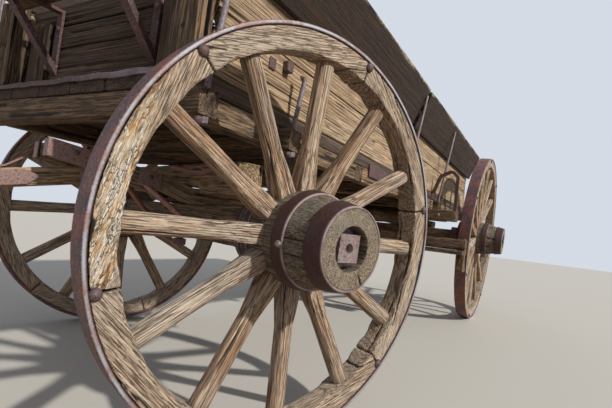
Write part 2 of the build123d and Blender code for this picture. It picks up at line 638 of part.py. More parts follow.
flare_length = hypot(FLARE_OUT, FLARE_UP)
with BuildPart() as flare_boards:
    for start, end in ((box_rear, FRONT_X - FLARE_JOINT - 1), (FRONT_X - FLARE_JOINT + 1, side_front)):
        with BuildSketch(Plane(origin=(start, 0, 0), x_dir=(0, 1, 0), z_dir=(1, 0, 0))):
            for side in (1, -1):
                out = side * FLARE_OUT / flare_length
                up = FLARE_UP / flare_length
                with BuildLine():
                    foot = (side * BOX_HALF_WIDTH, side_top + SEAT)
                    tip = (foot[0] + out * flare_length, foot[1] + up * flare_length)
                    Polyline(foot, tip, (tip[0] - side * up * FLARE_THICK, tip[1] + abs(out) * FLARE_THICK),
                             (foot[0] - side * up * FLARE_THICK, foot[1] + abs(out) * FLARE_THICK),
                             close=True)
                make_face()
        extrude(amount=end - start)
save(flare_boards, "flare_boards")

with BuildPart() as front_posts:
    with BuildSketch(Plane((post_front - POST_DEPTH / 2, 0, FLOOR_TOP))):
        with GridLocations(0, 2 * BOX_HALF_WIDTH - POST_WIDTH, 1, 2):
            Rectangle(POST_DEPTH, POST_WIDTH)
    extrude(amount=side_top - FLOOR_TOP)
save(front_posts, "front_posts")

inside_width = 2 * (BOX_HALF_WIDTH - SIDE_THICK)
with BuildPart() as headboard:
    low = FLOOR_TOP
    for board in HEADBOARD_BOARDS:
        with BuildSketch(Plane((post_front - HEADBOARD_SETBACK - HEADBOARD_THICK / 2, 0, low))):
            Rectangle(HEADBOARD_THICK, inside_width - 1)
        extrude(amount=board)
        low += board + BOARD_GAP
save(headboard, "headboard")

cleat_wide, cleat_thick, cleat_high = CLEAT
with BuildPart() as headboard_cleats:
    with BuildSketch(Plane((post_front - HEADBOARD_SETBACK + cleat_thick / 2, 0, FLOOR_TOP))):
        with GridLocations(0, 2 * (BOX_HALF_WIDTH - POST_WIDTH) - cleat_wide, 1, 2):
            Rectangle(cleat_thick, cleat_wide)
    extrude(amount=cleat_high)
save(headboard_cleats, "headboard_cleats")

with BuildPart() as tailboard:
    low = FLOOR_TOP
    for board in SIDE_BOARDS:
        with BuildSketch(Plane((box_rear + HEADBOARD_THICK / 2 + 6, 0, low))):
            Rectangle(HEADBOARD_THICK, inside_width - 1)
        extrude(amount=board)
        low += board + BOARD_GAP
save(tailboard, "tailboard")

# Flare rods: from a nut under each cross sill up to the flare board's underside
rod_top = side_top + FLARE_UP * ROD_HEAD
rod_top_y = BOX_HALF_WIDTH + FLARE_OUT * ROD_HEAD + (ROD_R + SEAT) * flare_length / FLARE_UP
with BuildPart() as flare_rods:
    for x, left, right in SILLS:
        for side, share in ((1, left), (-1, right)):
            if not share:
                continue
            foot = Vector(x, side * rod_foot, SILL_LOW)
            bend = Vector(x, side * rod_foot, SILL_TOP + ROD_BEND)
            head = bend + (Vector(x, side * rod_top_y, rod_top) - bend) * share
            with BuildLine() as rod_line:
                FilletPolyline(foot, bend, head, radius=ROD_CURVE)
            with BuildSketch(Plane(origin=foot, z_dir=(0, 0, 1))):
                Circle(ROD_R)
            sweep(path=rod_line.wire())
            with BuildSketch(Plane(origin=foot - Vector(0, 0, NUT_HIGH), z_dir=(0, 0, 1))):
                RegularPolygon(NUT_R, 4)
            extrude(amount=NUT_HIGH)
save(flare_rods, "flare_rods")

# Iron plates that the turning wheels rub on
RUB_PLATE = (370.0, 8.0, 62.0)
RUB_BACK = 850.0
with BuildPart() as rub_irons:
    with BuildSketch(Plane((FRONT_X - RUB_BACK, 0, SILL_TOP + 26 - RUB_PLATE[2]))):
        with GridLocations(0, 2 * BOX_HALF_WIDTH + RUB_PLATE[1], 1, 2):
            Rectangle(RUB_PLATE[0], RUB_PLATE[1])
    extrude(amount=RUB_PLATE[2])
save(rub_irons, "rub_irons")

# Footboard on two three-cornered iron brackets
BRACKET_REACH = 200.0
BRACKET_HIGH = 232.0
BRACKET_BAR = 10.0
BRACKET_WIDE = 30.0
BRACKET_GAP = 20.0           # between a cleat and a bracket
BRACKET_LOW = 52.0           # above the floor
BRACKET_TAPER = (38.0, 26.0)  # how far the opening stays clear of the lower and the outer corner
FOOTBOARD = (160.0, 26.0)    # along and thick
FOOTBOARD_AHEAD = 130.0      # its middle, ahead of the headboard
bracket_x = post_front - HEADBOARD_SETBACK
bracket_y = BOX_HALF_WIDTH - POST_WIDTH - cleat_wide - BRACKET_GAP - BRACKET_WIDE / 2
bracket_low = FLOOR_TOP + BRACKET_LOW
bracket_top = bracket_low + BRACKET_HIGH
with BuildPart() as footboard_brackets:
    for side in (1, -1):
        with BuildSketch(Plane.XZ.offset(-side * bracket_y - BRACKET_WIDE / 2)):
            with BuildLine():
                Polyline((bracket_x, bracket_low),
                         (bracket_x, bracket_top),
                         (bracket_x + BRACKET_REACH, bracket_top),
                         (bracket_x + BRACKET_REACH, bracket_top - BRACKET_BAR),
                         close=True)
            make_face()
            with BuildLine():
                Polyline((bracket_x + BRACKET_BAR, bracket_low + BRACKET_TAPER[0]),
                         (bracket_x + BRACKET_BAR, bracket_top - BRACKET_BAR),
                         (bracket_x + BRACKET_REACH - BRACKET_TAPER[1], bracket_top - BRACKET_BAR),
                         close=True)
            make_face(mode=Mode.SUBTRACT)
        extrude(amount=BRACKET_WIDE)
save(footboard_brackets, "footboard_brackets")

with BuildPart() as footboard:
    with BuildSketch(Plane((bracket_x + FOOTBOARD_AHEAD, 0, bracket_top))):
        Rectangle(FOOTBOARD[0], 2 * (BOX_HALF_WIDTH - POST_WIDTH) - 6)
    extrude(amount=FOOTBOARD[1])
save(footboard, "footboard")

# Brake: a beam on a plank across ahead of the rear wheels, a shoe at each end, hangers and a lever
shoe_face_r = REAR_RADIUS + SHOE_GAP
shoe_y = REAR_TRACK / 2 - TYRE_WIDTH / 2
shoe_x = REAR_X + REAR_RADIUS + SHOE_GAP + SHOE_SET
with BuildPart() as brake_shoes:
    for side in (1, -1):
        with BuildSketch(Plane.XZ.offset(-side * shoe_y - SHOE_WIDTH / 2)):
            with Locations((shoe_x, BRAKE_BEAM_Z - SHOE_DROP)):
                Rectangle(2 * SHOE_THICK, SHOE_HEIGHT)
            with Locations((REAR_X, REAR_RADIUS)):
                Circle(shoe_face_r, mode=Mode.SUBTRACT)
        extrude(amount=SHOE_WIDTH)
save(brake_shoes, "brake_shoes")

beam_x = shoe_x + SHOE_THICK + BRAKE_BEAM[0] / 2
beam_length = 2 * (shoe_y + SHOE_WIDTH / 2)
timber("brake_beam", Plane((beam_x, 0, BRAKE_BEAM_Z)), BRAKE_BEAM[0], beam_length, BRAKE_BEAM[1])
plank_top = BRAKE_BEAM_Z - BRAKE_BEAM[1] / 2
plank_x = shoe_x + SHOE_THICK + BRAKE_PLANK[0] / 2
timber("brake_plank", Plane((plank_x, 0, plank_top - BRAKE_PLANK[1] / 2)), BRAKE_PLANK[0], beam_length,
       BRAKE_PLANK[1])

hanger_x = beam_x + (BRAKE_BEAM[0] + HANGER[0]) / 2
with BuildPart() as brake_hangers:
    with BuildSketch(Plane((hanger_x, 0, plank_top))):
        with GridLocations(0, 2 * BOX_HALF_WIDTH - SIDE_SILL_WIDTH, 1, 2):
            Rectangle(*HANGER)
    extrude(amount=SILL_LOW - plank_top)
save(brake_hangers, "brake_hangers")

# The lever is a bent iron that stands on the block's outer end and leans back to the box's side
block_along, block_across, block_high = BRAKE_BLOCK
block_x = shoe_x
block_inner = BOX_HALF_WIDTH - BRAKE_BLOCK_IN
timber("brake_block", Plane((block_x, block_inner + block_across / 2, SILL_LOW - block_high / 2)),
       block_along, block_across, block_high)
lever_in = BOX_HALF_WIDTH + LEVER_BAR / 2 + SEAT
lever_out = block_inner + block_across - LEVER_BAR
# The lever seen from the front: distance from the centre line and height
LEVER_LINE = ((lever_out, SILL_LOW),
              (lever_out, FLOOR_TOP + LEVER_SHOULDER),
              (lever_out - LEVER_SLOPE, FLOOR_TOP + LEVER_TOP),
              (lever_in + LEVER_SLOPE, FLOOR_TOP + LEVER_SHOULDER),
              (lever_in, FLOOR_TOP - LEVER_FOOT))
with BuildPart() as brake_lever:
    with BuildSketch(Plane(origin=(block_x - LEVER_BAR / 2, 0, 0), x_dir=(0, 1, 0), z_dir=(1, 0, 0))):
        with BuildLine():
            FilletPolyline(*LEVER_LINE, radius=LEVER_BEND)
        trace(line_width=LEVER_BAR)
    extrude(amount=LEVER_BAR)
save(brake_lever, "brake_lever")
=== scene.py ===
# Looks of an old wooden freight wagon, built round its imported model. Metres, in the model's own frame.
import bmesh
import bpy
import json
import numpy as np
from itertools import product
from math import cos, hypot, pi, radians, sin
from mathutils import Matrix, Vector


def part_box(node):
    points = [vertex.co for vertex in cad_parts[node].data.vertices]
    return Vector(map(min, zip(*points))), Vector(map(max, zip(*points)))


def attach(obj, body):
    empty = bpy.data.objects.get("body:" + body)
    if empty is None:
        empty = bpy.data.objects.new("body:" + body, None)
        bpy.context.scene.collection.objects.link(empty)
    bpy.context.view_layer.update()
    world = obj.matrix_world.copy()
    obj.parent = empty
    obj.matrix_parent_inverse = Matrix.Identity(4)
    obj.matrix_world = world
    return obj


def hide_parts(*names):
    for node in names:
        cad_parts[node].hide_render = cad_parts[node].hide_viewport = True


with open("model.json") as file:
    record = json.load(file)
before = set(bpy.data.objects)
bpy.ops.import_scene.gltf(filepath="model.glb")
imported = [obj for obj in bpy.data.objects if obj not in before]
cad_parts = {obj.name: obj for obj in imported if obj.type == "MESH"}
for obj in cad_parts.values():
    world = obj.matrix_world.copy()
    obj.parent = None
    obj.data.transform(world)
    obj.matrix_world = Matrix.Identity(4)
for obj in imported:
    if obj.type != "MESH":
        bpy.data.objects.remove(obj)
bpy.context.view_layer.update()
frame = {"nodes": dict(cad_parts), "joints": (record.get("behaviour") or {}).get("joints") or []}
JOINTS = {joint["name"]: joint for joint in frame["joints"]}
X, Y, Z = np.eye(3)

# Camera, found by fitting the wagon to the photograph. Angles in degrees, the heading from +X
PHOTO_WIDTH = 612
FOCAL_PIXELS = 427.5
SENSOR_WIDTH = 36.0          # millimetres
CAMERA_AT = (2.5586, 1.2833, 0.5959)
CAMERA_HEADING = 210.02
CAMERA_PITCH = 2.94
CAMERA_ROLL = 6.80

# Floor and sky: the colour that is seen, and the one that lights the wagon
FLOOR_SEEN = (0.62, 0.60, 0.56)
FLOOR_LIGHT = (0.27, 0.20, 0.14)
FLOOR_REACH = 30
SKY_SEEN = (0.66, 0.71, 0.78)
SKY_LIGHT = (0.90, 0.93, 1.0)
SKY_STRENGTH = 0.36
SUN_COLOUR = (1.0, 0.95, 0.86)
SUN_STRENGTH = 3.1
SUN_WIDTH = 2                # degrees
SUN_FROM = (0.05, 1.0, 0.70)

# Wheel sizes, along the axle from the wheel's outboard plane, plus is outboard
TYRE_WIDTH = 0.080
TYRE_THICK = 0.013
FELLOE_DEPTH = 0.059
FELLOE_WIDTH = 0.074
FELLOE_JOINT = 0.0012
DISH = 0.024
HUB_FRONT = 0.156
HUB_REAR = -0.196
HUB_BELLY = (-0.128, 0.004)
HUB_NOSE_R = 0.100
HUB_BELLY_R = 0.131
HUB_TAIL_R = 0.112
HUB_BORE_R = 0.036
NUT_POCKET_R = 0.056
NUT_POCKET_DEPTH = 0.044
BAND_THICK = 0.006
HUB_PROFILE = ((HUB_REAR, HUB_TAIL_R), (HUB_BELLY[0], HUB_BELLY_R), (HUB_BELLY[1], HUB_BELLY_R),
               (HUB_FRONT, HUB_NOSE_R))
# Rear and front edge of each hub band
BANDS = ((HUB_REAR, HUB_REAR + 0.034), (HUB_BELLY[0], HUB_BELLY[0] + 0.026),
         (HUB_BELLY[1], HUB_BELLY[1] + 0.037), (HUB_FRONT - 0.052, HUB_FRONT))
BAND_SEAT = 0.0005           # how far a band reaches into the wood
BAND_GIRTH = 0.8             # once round a band, for its mesh
# Long edges of a felloe. The inner ones are rounded less by the joints and spokes than between them: radius,
# and how far from a joint and from a spoke it is reached
FELLOE_EDGE = 0.003
FELLOE_ROUNDING = ((FELLOE_EDGE, 0.028, 0.040), (0.014, 0.050, 0.062))
FELLOE_BOLT = (0.0135, 0.010)    # radius and height
FELLOE_BOLT_IN = 0.010
# Spoke sizes at the hub, at the waist and at the rim
SPOKE_WIDTH = (0.058, 0.048, 0.052)
SPOKE_DEPTH = (0.062, 0.046, 0.048)
SPOKE_WAIST = 0.35           # share of its length
SPOKE_IN_HUB = 0.008
SPOKE_IN_FELLOE = 0.003

# Each wheel's spokes, felloes, angle of its first joint in degrees, and mesh step
WHEELS = {"front_left_wheel": (12, 6, 15.0, 0.0038),
          "front_right_wheel": (12, 6, 11.5, 0.0135),
          "rear_left_wheel": (14, 7, 0.0, 0.0125),
          "rear_right_wheel": (14, 7, 0.0, 0.017)}
NEAR_WHEEL = "front_left_wheel"
ROTTEN_FELLOE = 2
HUB_SPLIT = 300              # degrees

END_ROUNDING = 0.006         # of a timber's ends
TORN_REACH = 0.10            # how far from its end a board is torn


def lattice(cell, seed):
    """A fixed pseudo-random value from -1 to 1 at each whole-number point."""
    c = cell.astype(np.int64)
    h = (c[:, 0] * 374761393 + c[:, 1] * 668265263 + c[:, 2] * 1274126177 + seed * 144269504) & 0xFFFFFFFF
    h = ((h ^ (h >> 13)) * 1103515245) & 0xFFFFFFFF
    return ((h ^ (h >> 16)) & 0xFFFF) / 32767.5 - 1


def noise(points, scale, seed=0):
    """Smooth noise from -1 to 1, with scale cells a metre along each axis."""
    p = points * np.array(scale)
    cell = np.floor(p)
    f = p - cell
    f = f * f * (3 - 2 * f)
    total = np.zeros(len(p))
    for corner in product((0, 1), repeat=3):
        share = np.prod(np.where(corner, f, 1 - f), axis=1)
        total += share * lattice(cell + corner, seed)
    return total


def smooth(low, high, value):
    """0 at low and 1 at high, with a smooth rise between, or a fall where high is the smaller."""
    t = np.clip((value - low) / (high - low), 0, 1)
    return t * t * (3 - 2 * t)


def spaced(length, step, edge):
    """Positions from 0 to length about step apart, closer at both ends, where the edge is rounded."""
    edge = min(edge, length / 3)
    count = max(2, round((length - 2 * edge) / step) + 1)
    middle = np.linspace(edge, length - edge, count)
    return np.concatenate(([0, 0.35 * edge], middle, [length - 0.35 * edge, length]))


def table(value, x):
    """A size that is one number, or that runs through (place, size) pairs along a timber."""
    if np.isscalar(value):
        return np.full(len(x), float(value))
    places, sizes = zip(*value)
    return np.interp(x, places, sizes)


def largest(value):
    """The largest of a size that is one number or a table."""
    return value if np.isscalar(value) else max(size for _, size in value)


class Style:
    """How a timber has weathered, in metres. These are a plain timber's, and others change some of them."""
    ridge = 0.0015           # depth of the grooves in its grain
    pitch = 0.011            # from groove to groove
    bend = 1.0               # how much they wander
    cracks = 3.0             # drying cracks a metre
    crack = 0.006            # their depth
    crack_width = 0.0026
    crack_length = 0.30
    wave = 0.0015            # depth of slow hollows
    ragged = 0.006           # depth of broken fibres on its ends
    torn = 0.0               # how far its ends are torn away
    pith = (0.05, 0.12)      # heart of the tree, from the timber's middle
    knots = ()               # place along, place across and radius of each

    def __init__(self, **changes):
        vars(self).update(changes)


PLAIN = Style()
SQUARE = Style(ridge=0.0016, pitch=0.010, cracks=6, crack=0.008, crack_width=0.003, wave=0.003, ragged=0.008,
               pith=(0.02, 0.01))
POST = Style(ridge=0.0018, pitch=0.009, cracks=14, crack=0.009, crack_width=0.0035, wave=0.004, ragged=0.009,
             pith=(0.02, 0.01), knots=((0.10, 0.0, 0.011),))
BOARD = Style(ridge=0.0024, pitch=0.012, cracks=4, crack_length=0.5, wave=0.002, ragged=0.010, torn=0.03,
              pith=(0.30, 0.12), bend=0.35)
FLARE = Style(ridge=0.0016, pitch=0.016, cracks=2, crack=0.005, crack_length=0.5, wave=0.002, ragged=0.010,
              torn=0.03, pith=(0.06, 0.10), bend=0.5,
              knots=((0.42, -0.06, 0.020), (1.33, -0.05, 0.018), (1.62, -0.02, 0.013)))


def linked(name, data):
    made = bpy.data.objects.new(name, data)
    bpy.context.scene.collection.objects.link(made)
    return made


def put(name, mesh, material, body, nodes):
    """Makes a mesh a piece that rides on a body and stands for the CAD nodes given."""
    mesh.materials.append(MATERIALS[material])
    piece = linked(name, mesh)
    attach(piece, body)
    if nodes:
        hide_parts(*nodes)


class Piece:
    """Gathers weathered solids into one mesh. Each point keeps its place in the grain, how hollow it lies,
    which the materials darken mostly as painted shade, its timber's tone, and how far its fresh finish shows:
    rot, lichen, worn metal, and painted highlights and sunlight on some irons."""

    def __init__(self):
        self.verts, self.faces, self.grain, self.hollow, self.tone, self.fresh = [], [], [], [], [], []
        self.count = 0

    def add(self, verts, faces, grain, hollow, tone=0.0, fresh=None):
        self.verts.append(verts)
        self.faces += [[i + self.count for i in face] for face in faces]
        self.grain.append(grain)
        self.hollow.append(hollow)
        self.tone.append(np.full(len(verts), tone))
        self.fresh.append(np.zeros(len(verts)) if fresh is None else fresh)
        self.count += len(verts)

    def finish(self, name, material, body, nodes=()):
        mesh = bpy.data.meshes.new(name)
        mesh.from_pydata(np.concatenate(self.verts).tolist(), [], self.faces)
        vector = mesh.attributes.new("grain", "FLOAT_VECTOR", "POINT")
        vector.data.foreach_set("vector", np.concatenate(self.grain).astype(np.float32).ravel())
        for label, values in (("hollow", self.hollow), ("tone", self.tone), ("fresh", self.fresh)):
            attribute = mesh.attributes.new(label, "FLOAT", "POINT")
            attribute.data.foreach_set("value", np.concatenate(values).astype(np.float32))
        mesh.shade_smooth()
        put(name, mesh, material, body, nodes)

    def replace(self, node, material, body, kind="_wood"):
        self.finish(node + kind, material, body, [node])


def normals(verts, quads):
    """Outward normal at each vertex of a mesh of quads."""
    a, b, c, d = (verts[quads[:, k]] for k in range(4))
    flat = np.cross(c - a, d - b)
    total = np.zeros_like(verts)
    for k in range(4):
        for axis in range(3):
            total[:, axis] += np.bincount(quads[:, k], flat[:, axis], len(verts))
    return total / (np.linalg.norm(total, axis=1, keepdims=True) + 1e-12)


def grain_lines(grain, style, seed):
    """1 in a groove between two growth rings and 0 on the ridge."""
    bend = 1.4 * noise(grain, (0.9, 7, 7), seed) + 0.55 * noise(grain, (3, 22, 22), seed + 1)
    ring = np.hypot(grain[:, 1], grain[:, 2]) / style.pitch + bend * style.bend
    deep = 0.5 + 0.5 * noise(grain, (2.5, 40, 40), seed + 2)
    return (0.5 + 0.5 * np.cos(ring * 2 * pi)) ** 3 * (0.35 + 0.65 * deep)


def drying_cracks(grain, quads, style, seed):
    """1 along the middle of drying cracks, which run along the grain and straight in from the surface."""
    rng = np.random.default_rng(seed)
    facing = normals(grain, quads)
    x = grain[:, 0]
    opened = np.zeros(len(x))
    sides = np.flatnonzero(np.abs(facing[:, 0]) < 0.5)
    for index in range(round(style.cracks * max(0.6, np.ptp(x)))):
        start = rng.choice(sides)
        half = style.crack_length * rng.uniform(0.3, 1)
        wide = style.crack_width * rng.uniform(0.5, 1)
        inward = -facing[start, 1:] / (np.linalg.norm(facing[start, 1:]) + 1e-9)
        near = np.flatnonzero(np.abs(x - x[start]) < half)
        offset = grain[near, 1:] - grain[start, 1:]
        deep = offset @ inward
        line = np.stack((x[near], np.full(len(near), index * 3.7), np.zeros(len(near))), axis=1)
        wander = 0.003 * noise(line, (8, 1, 1), seed) + 0.001 * noise(line, (45, 1, 1), seed + 1)
        across = np.abs(offset[:, 0] * inward[1] - offset[:, 1] * inward[0] + wander)
        taper = wide * (1 - ((x[near] - x[start]) / half) ** 2)
        depth = smooth(taper + 0.0016, taper * 0.2, across) * smooth(0.03, 0.015, deep)
        opened[near] = np.maximum(opened[near], depth)
    return opened


def weathered(verts, quads, grain, ends, style, seed, decay=None):
    """Moves a timber's surface in by its wear, and by rot where decay is above 0. Returns the new places and
    how deep each lies, from 0 to 1."""
    lines = grain_lines(grain, style, seed)
    opened = drying_cracks(grain, quads, style, seed + 10)
    if decay is not None:
        opened *= 1 - decay
    wave = 0.5 + 0.5 * noise(grain, (2.2, 9, 9), seed + 30)
    sides = 1 - ends
    fibre = 0.5 + 0.3 * noise(grain, (8, 120, 120), seed + 40) + 0.35 * noise(grain, (8, 38, 38), seed + 41)
    depth = sides * style.ridge * lines + style.crack * opened + style.wave * wave
    depth += ends * style.ragged * np.clip(fibre, 0, 1.2)
    hollow = sides * 0.5 * lines + opened + ends * (1 - fibre) * 0.8
    if decay is not None:
        bent = np.stack([2.2 * noise(grain, (20, 70, 70), seed + k) for k in (21, 22, 23)], axis=1)
        chips = 0.5 + 0.5 * lattice(np.floor(grain * (45, 150, 150) + bent), seed + 20)
        pits = smooth(0.35, 0.75, noise(grain, (18, 110, 110), seed + 24))
        depth += decay * (0.0010 + 0.0028 * chips + 0.0045 * pits)
        hollow += decay * 0.7 * pits
    return verts - normals(verts, quads) * depth[:, None], np.clip(hollow, 0, 1)


def rounded(y, z, half_y, half_z, radius):
    """Rounds the corners of a rectangular section."""
    radius = np.minimum(radius, np.minimum(half_y, half_z))
    over_y = np.abs(y) - (half_y - radius)
    over_z = np.abs(z) - (half_z - radius)
    corner = (over_y > 0) & (over_z > 0)
    reach = np.hypot(over_y, over_z)
    pull = np.where(corner, radius / np.maximum(reach, 1e-9), 1)
    pull = np.minimum(pull, 1)
    new_y = np.sign(y) * (half_y - radius + over_y * pull)
    new_z = np.sign(z) * (half_z - radius + over_z * pull)
    return np.where(corner, new_y, y), np.where(corner, new_z, z)


def tube_quads(rings, around):
    """Quads between rings of points, and the polygons of both ends."""
    i, j = (grid.ravel() for grid in np.meshgrid(np.arange(rings - 1), np.arange(around), indexing="ij"))
    k = (j + 1) % around
    quads = np.stack((i * around + j, i * around + k, (i + 1) * around + k, (i + 1) * around + j), axis=1)
    last = (rings - 1) * around
    return quads, [list(range(around - 1, -1, -1)), list(range(last, last + around))]


def beam(length, width, height, step, long_step, radius=0.005, inner_radius=None):
    """A timber's closed surface in its own frame: x along from 0, y and z across from the middle.

    step and long_step are its mesh's, across and along. Width, height and the radius of its long edges may
    be tables along x, and inner_radius is that of the +y edges. Returns points, quads, end polygons and 1 on
    the ends."""
    probe = np.linspace(0, length, 12)
    small = min(table(width, probe).min(), table(height, probe).min()) / 2
    edge = min(END_ROUNDING, small * 0.6)

    def side(size):
        along = spaced(size, step, edge)[:-1] / size * 2 - 1
        return along, np.full(len(along), -1.0)

    (wide, below), (tall, inboard) = side(largest(width)), side(largest(height))
    loop_y = np.concatenate((wide, -inboard, -wide, inboard))
    loop_z = np.concatenate((below, tall, -below, -tall))
    xs = spaced(length, long_step, edge)
    inset = edge - np.sqrt(np.maximum(edge ** 2 - np.maximum(edge - np.minimum(xs, length - xs), 0) ** 2, 0))
    caps = np.linspace(edge, small * 0.94, max(2, round(small / step) + 1))[1:]
    xs = np.concatenate((np.zeros(len(caps)), xs, np.full(len(caps), length)))
    inset = np.concatenate((caps[::-1], inset, caps))
    end_flag = np.zeros(len(xs))
    end_flag[:len(caps) + 1] = 1
    end_flag[-len(caps) - 1:] = 1
    half_y = (table(width, xs) / 2 - inset)[:, None]
    half_z = (table(height, xs) / 2 - inset)[:, None]
    y, z = half_y * loop_y, half_z * loop_z
    corner = table(radius, xs)[:, None] * np.ones(len(loop_y))
    if inner_radius is not None:
        corner = np.where(loop_y > 0, table(inner_radius, xs)[:, None], corner)
    corner = np.maximum(corner - inset[:, None] * 0.5, 0.001)
    y, z = rounded(y, z, half_y, half_z, corner)
    rings, around = y.shape
    points = np.stack((np.repeat(xs, around), y.ravel(), z.ravel()), axis=1)
    quads, lids = tube_quads(rings, around)
    return points, quads, lids, np.repeat(end_flag, around)


def place_beam(piece, shape, origin, axes, style, seed, shift_y=0.0, shift_z=0.0, fresh=None):
    """Weathers one timber and adds it to a piece. Shifts of its middle, by tables along it, bend it. fresh is
    a function of its points and their places in the grain."""
    points, quads, lids, ends = shape
    x, y, z = points.T
    rng = np.random.default_rng(seed)
    grain = np.stack((x + rng.uniform(0, 40), y + style.pith[0], z + style.pith[1]), axis=1)
    if style.torn:
        flat = np.stack((y, z * 0.3, np.zeros(len(y))), axis=1)
        first, last = (0.5 + 0.5 * noise(flat, (20, 20, 1), end) + 0.35 * noise(flat, (80, 80, 1), end)
                       for end in (seed + 50, seed + 60))
        x = (x + style.torn * first * smooth(TORN_REACH, 0, x)
             - style.torn * last * smooth(x.max() - TORN_REACH, x.max(), x))
    y = y + table(shift_y, x)
    z = z + table(shift_z, x)
    verts = origin + np.outer(x, axes[0]) + np.outer(y, axes[1]) + np.outer(z, axes[2])
    verts, hollow = weathered(verts, quads, grain, ends, style, seed)
    for spot_x, spot_y, size in style.knots:
        off = np.hypot(points[:, 0] - spot_x, points[:, 1] - spot_y)
        hollow = np.maximum(hollow, smooth(size, size * 0.6, off))
    worn = None if fresh is None else fresh(points, grain)
    piece.add(verts, quads.tolist() + lids, grain, hollow, rng.uniform(-0.5, 0.5), worn)


def solids(node):
    """The vertices of each separate solid in a CAD node."""
    mesh = frame["nodes"][node].data
    places = np.array([v.co for v in mesh.vertices])
    _, same = np.unique(np.round(places, 5), axis=0, return_inverse=True)
    same = same.ravel()
    group = np.arange(same.max() + 1)

    def root(a):
        while group[a] != a:
            group[a] = group[group[a]]
            a = group[a]
        return a

    for polygon in mesh.polygons:
        first = root(same[polygon.vertices[0]])
        for v in polygon.vertices[1:]:
            group[root(same[v])] = first
    owner = np.array([root(s) for s in same])
    return [places[owner == g] for g in sorted(set(owner))]


def straight_timbers(node, seed, step=0.008, long_step=0.02, material="frame", style=SQUARE, axes=(X, Y, Z),
                     body="root"):
    """Replaces a node of straight timbers. The grain of each runs along its longest side."""
    piece = Piece()
    axes = np.array(axes)
    for index, points in enumerate(solids(node)):
        local = points @ axes.T
        low, high = local.min(0), local.max(0)
        size = high - low
        order = np.argsort(-size)
        along, wide, thin = axes[order]
        if np.dot(np.cross(along, wide), thin) < 0:
            wide = -wide
        start = (low + high) / 2 @ axes - along * size[order[0]] / 2
        shape = beam(*size[order], step, long_step)
        place_beam(piece, shape, start, (along, wide, thin), style, seed * 100 + index * 7 + 1)
    piece.replace(node, material, body)


def lathe(wheel, profile, segments):
    """A closed profile of (place along the axle, radius) turned round a wheel's axle."""
    angles = np.arange(segments) / segments * 2 * pi
    a, r = np.array(profile).T
    ring = np.cos(angles)[:, None] * wheel.axes[0] + np.sin(angles)[:, None] * wheel.axes[1]
    verts = ring[:, None, :] * r[None, :, None] + a[None, :, None] * wheel.axes[2]
    verts = wheel.centre + verts.reshape(-1, 3)
    count = len(profile)
    i, j = np.meshgrid(np.arange(segments), np.arange(count), indexing="ij")
    i, j = i.ravel(), j.ravel()
    ni, nj = (i + 1) % segments, (j + 1) % count
    quads = np.stack((i * count + j, ni * count + j, ni * count + nj, i * count + nj), axis=1)
    return verts, quads, np.repeat(angles, count), np.tile(a, segments), np.tile(r, segments)


def profile_loop(corners, radius, step):
    """A closed outline with rounded corners and points about step apart."""
    corners = [np.array(c) for c in corners]
    outline = []
    for before, here, after in zip(corners[-1:] + corners[:-1], corners, corners[1:] + corners[:1]):
        into, out = here - before, after - here
        cut = min(radius, np.linalg.norm(into) * 0.4, np.linalg.norm(out) * 0.4)
        first = here - into / np.linalg.norm(into) * cut
        last = here + out / np.linalg.norm(out) * cut
        outline += [(1 - t) ** 2 * first + 2 * t * (1 - t) * here + t * t * last for t in (0, 0.33, 0.67, 1)]
    dense = []
    for here, after in zip(outline, outline[1:] + outline[:1]):
        count = max(1, round(np.linalg.norm(after - here) / step))
        dense += [here + (after - here) * k / count for k in range(count)]
    return dense


class Wheel:
    """A wheel's counts and sizes, its centre on its outboard plane, and its axes: across, up and out."""

    def __init__(self, name, spokes, felloes, phase, step):
        joint = JOINTS[name + "_spin"]
        out = np.array(joint["axis"])
        up = Z - out * out[2]
        up /= np.linalg.norm(up)
        self.name, self.spokes, self.felloes, self.step = name, spokes, felloes, step
        self.phase = radians(phase)
        self.number = list(WHEELS).index(name)
        self.near = name == NEAR_WHEEL
        self.centre = np.array(joint["pos_m"])
        self.axes = (np.cross(up, out), up, out)
        self.radius = self.centre[2] / hypot(out[0], out[1])
        self.inner = self.radius - TYRE_THICK

    def finish(self, piece, made, material, node=None):
        """Finishes a piece that turns with this wheel, and may stand for one of its nodes."""
        piece.finish(f"{self.name}_{made}", material, self.name, [f"{self.name}_{node}"] if node else ())

    def ray(self, angle):
        """The direction at an angle round the axle."""
        return cos(angle) * self.axes[0] + sin(angle) * self.axes[1]


def off_line(angle, line, r):
    """How far round the axle a place is from a line at another angle."""
    return np.abs((angle - line + pi) % (2 * pi) - pi) * r


def hub_radius(a):
    places, radii = zip(*HUB_PROFILE)
    return float(np.interp(a, places, radii))


def inner_rounding(arc, spoke_gap):
    """Radius of a felloe's inner edges, along its arc."""
    pairs = [(-0.001, FELLOE_EDGE), (arc + 0.001, FELLOE_EDGE)]
    for radius, from_joint, from_spoke in FELLOE_ROUNDING:
        pairs += [(from_joint, radius), (arc - from_joint, radius)]
        for gaps in (-1.5, -0.5, 0.5, 1.5):
            spoke = arc / 2 + gaps * spoke_gap
            pairs += [(spoke - from_spoke, radius), (spoke + from_spoke, radius)]
    return sorted(pair for pair in pairs if -0.01 < pair[0] < arc + 0.01)


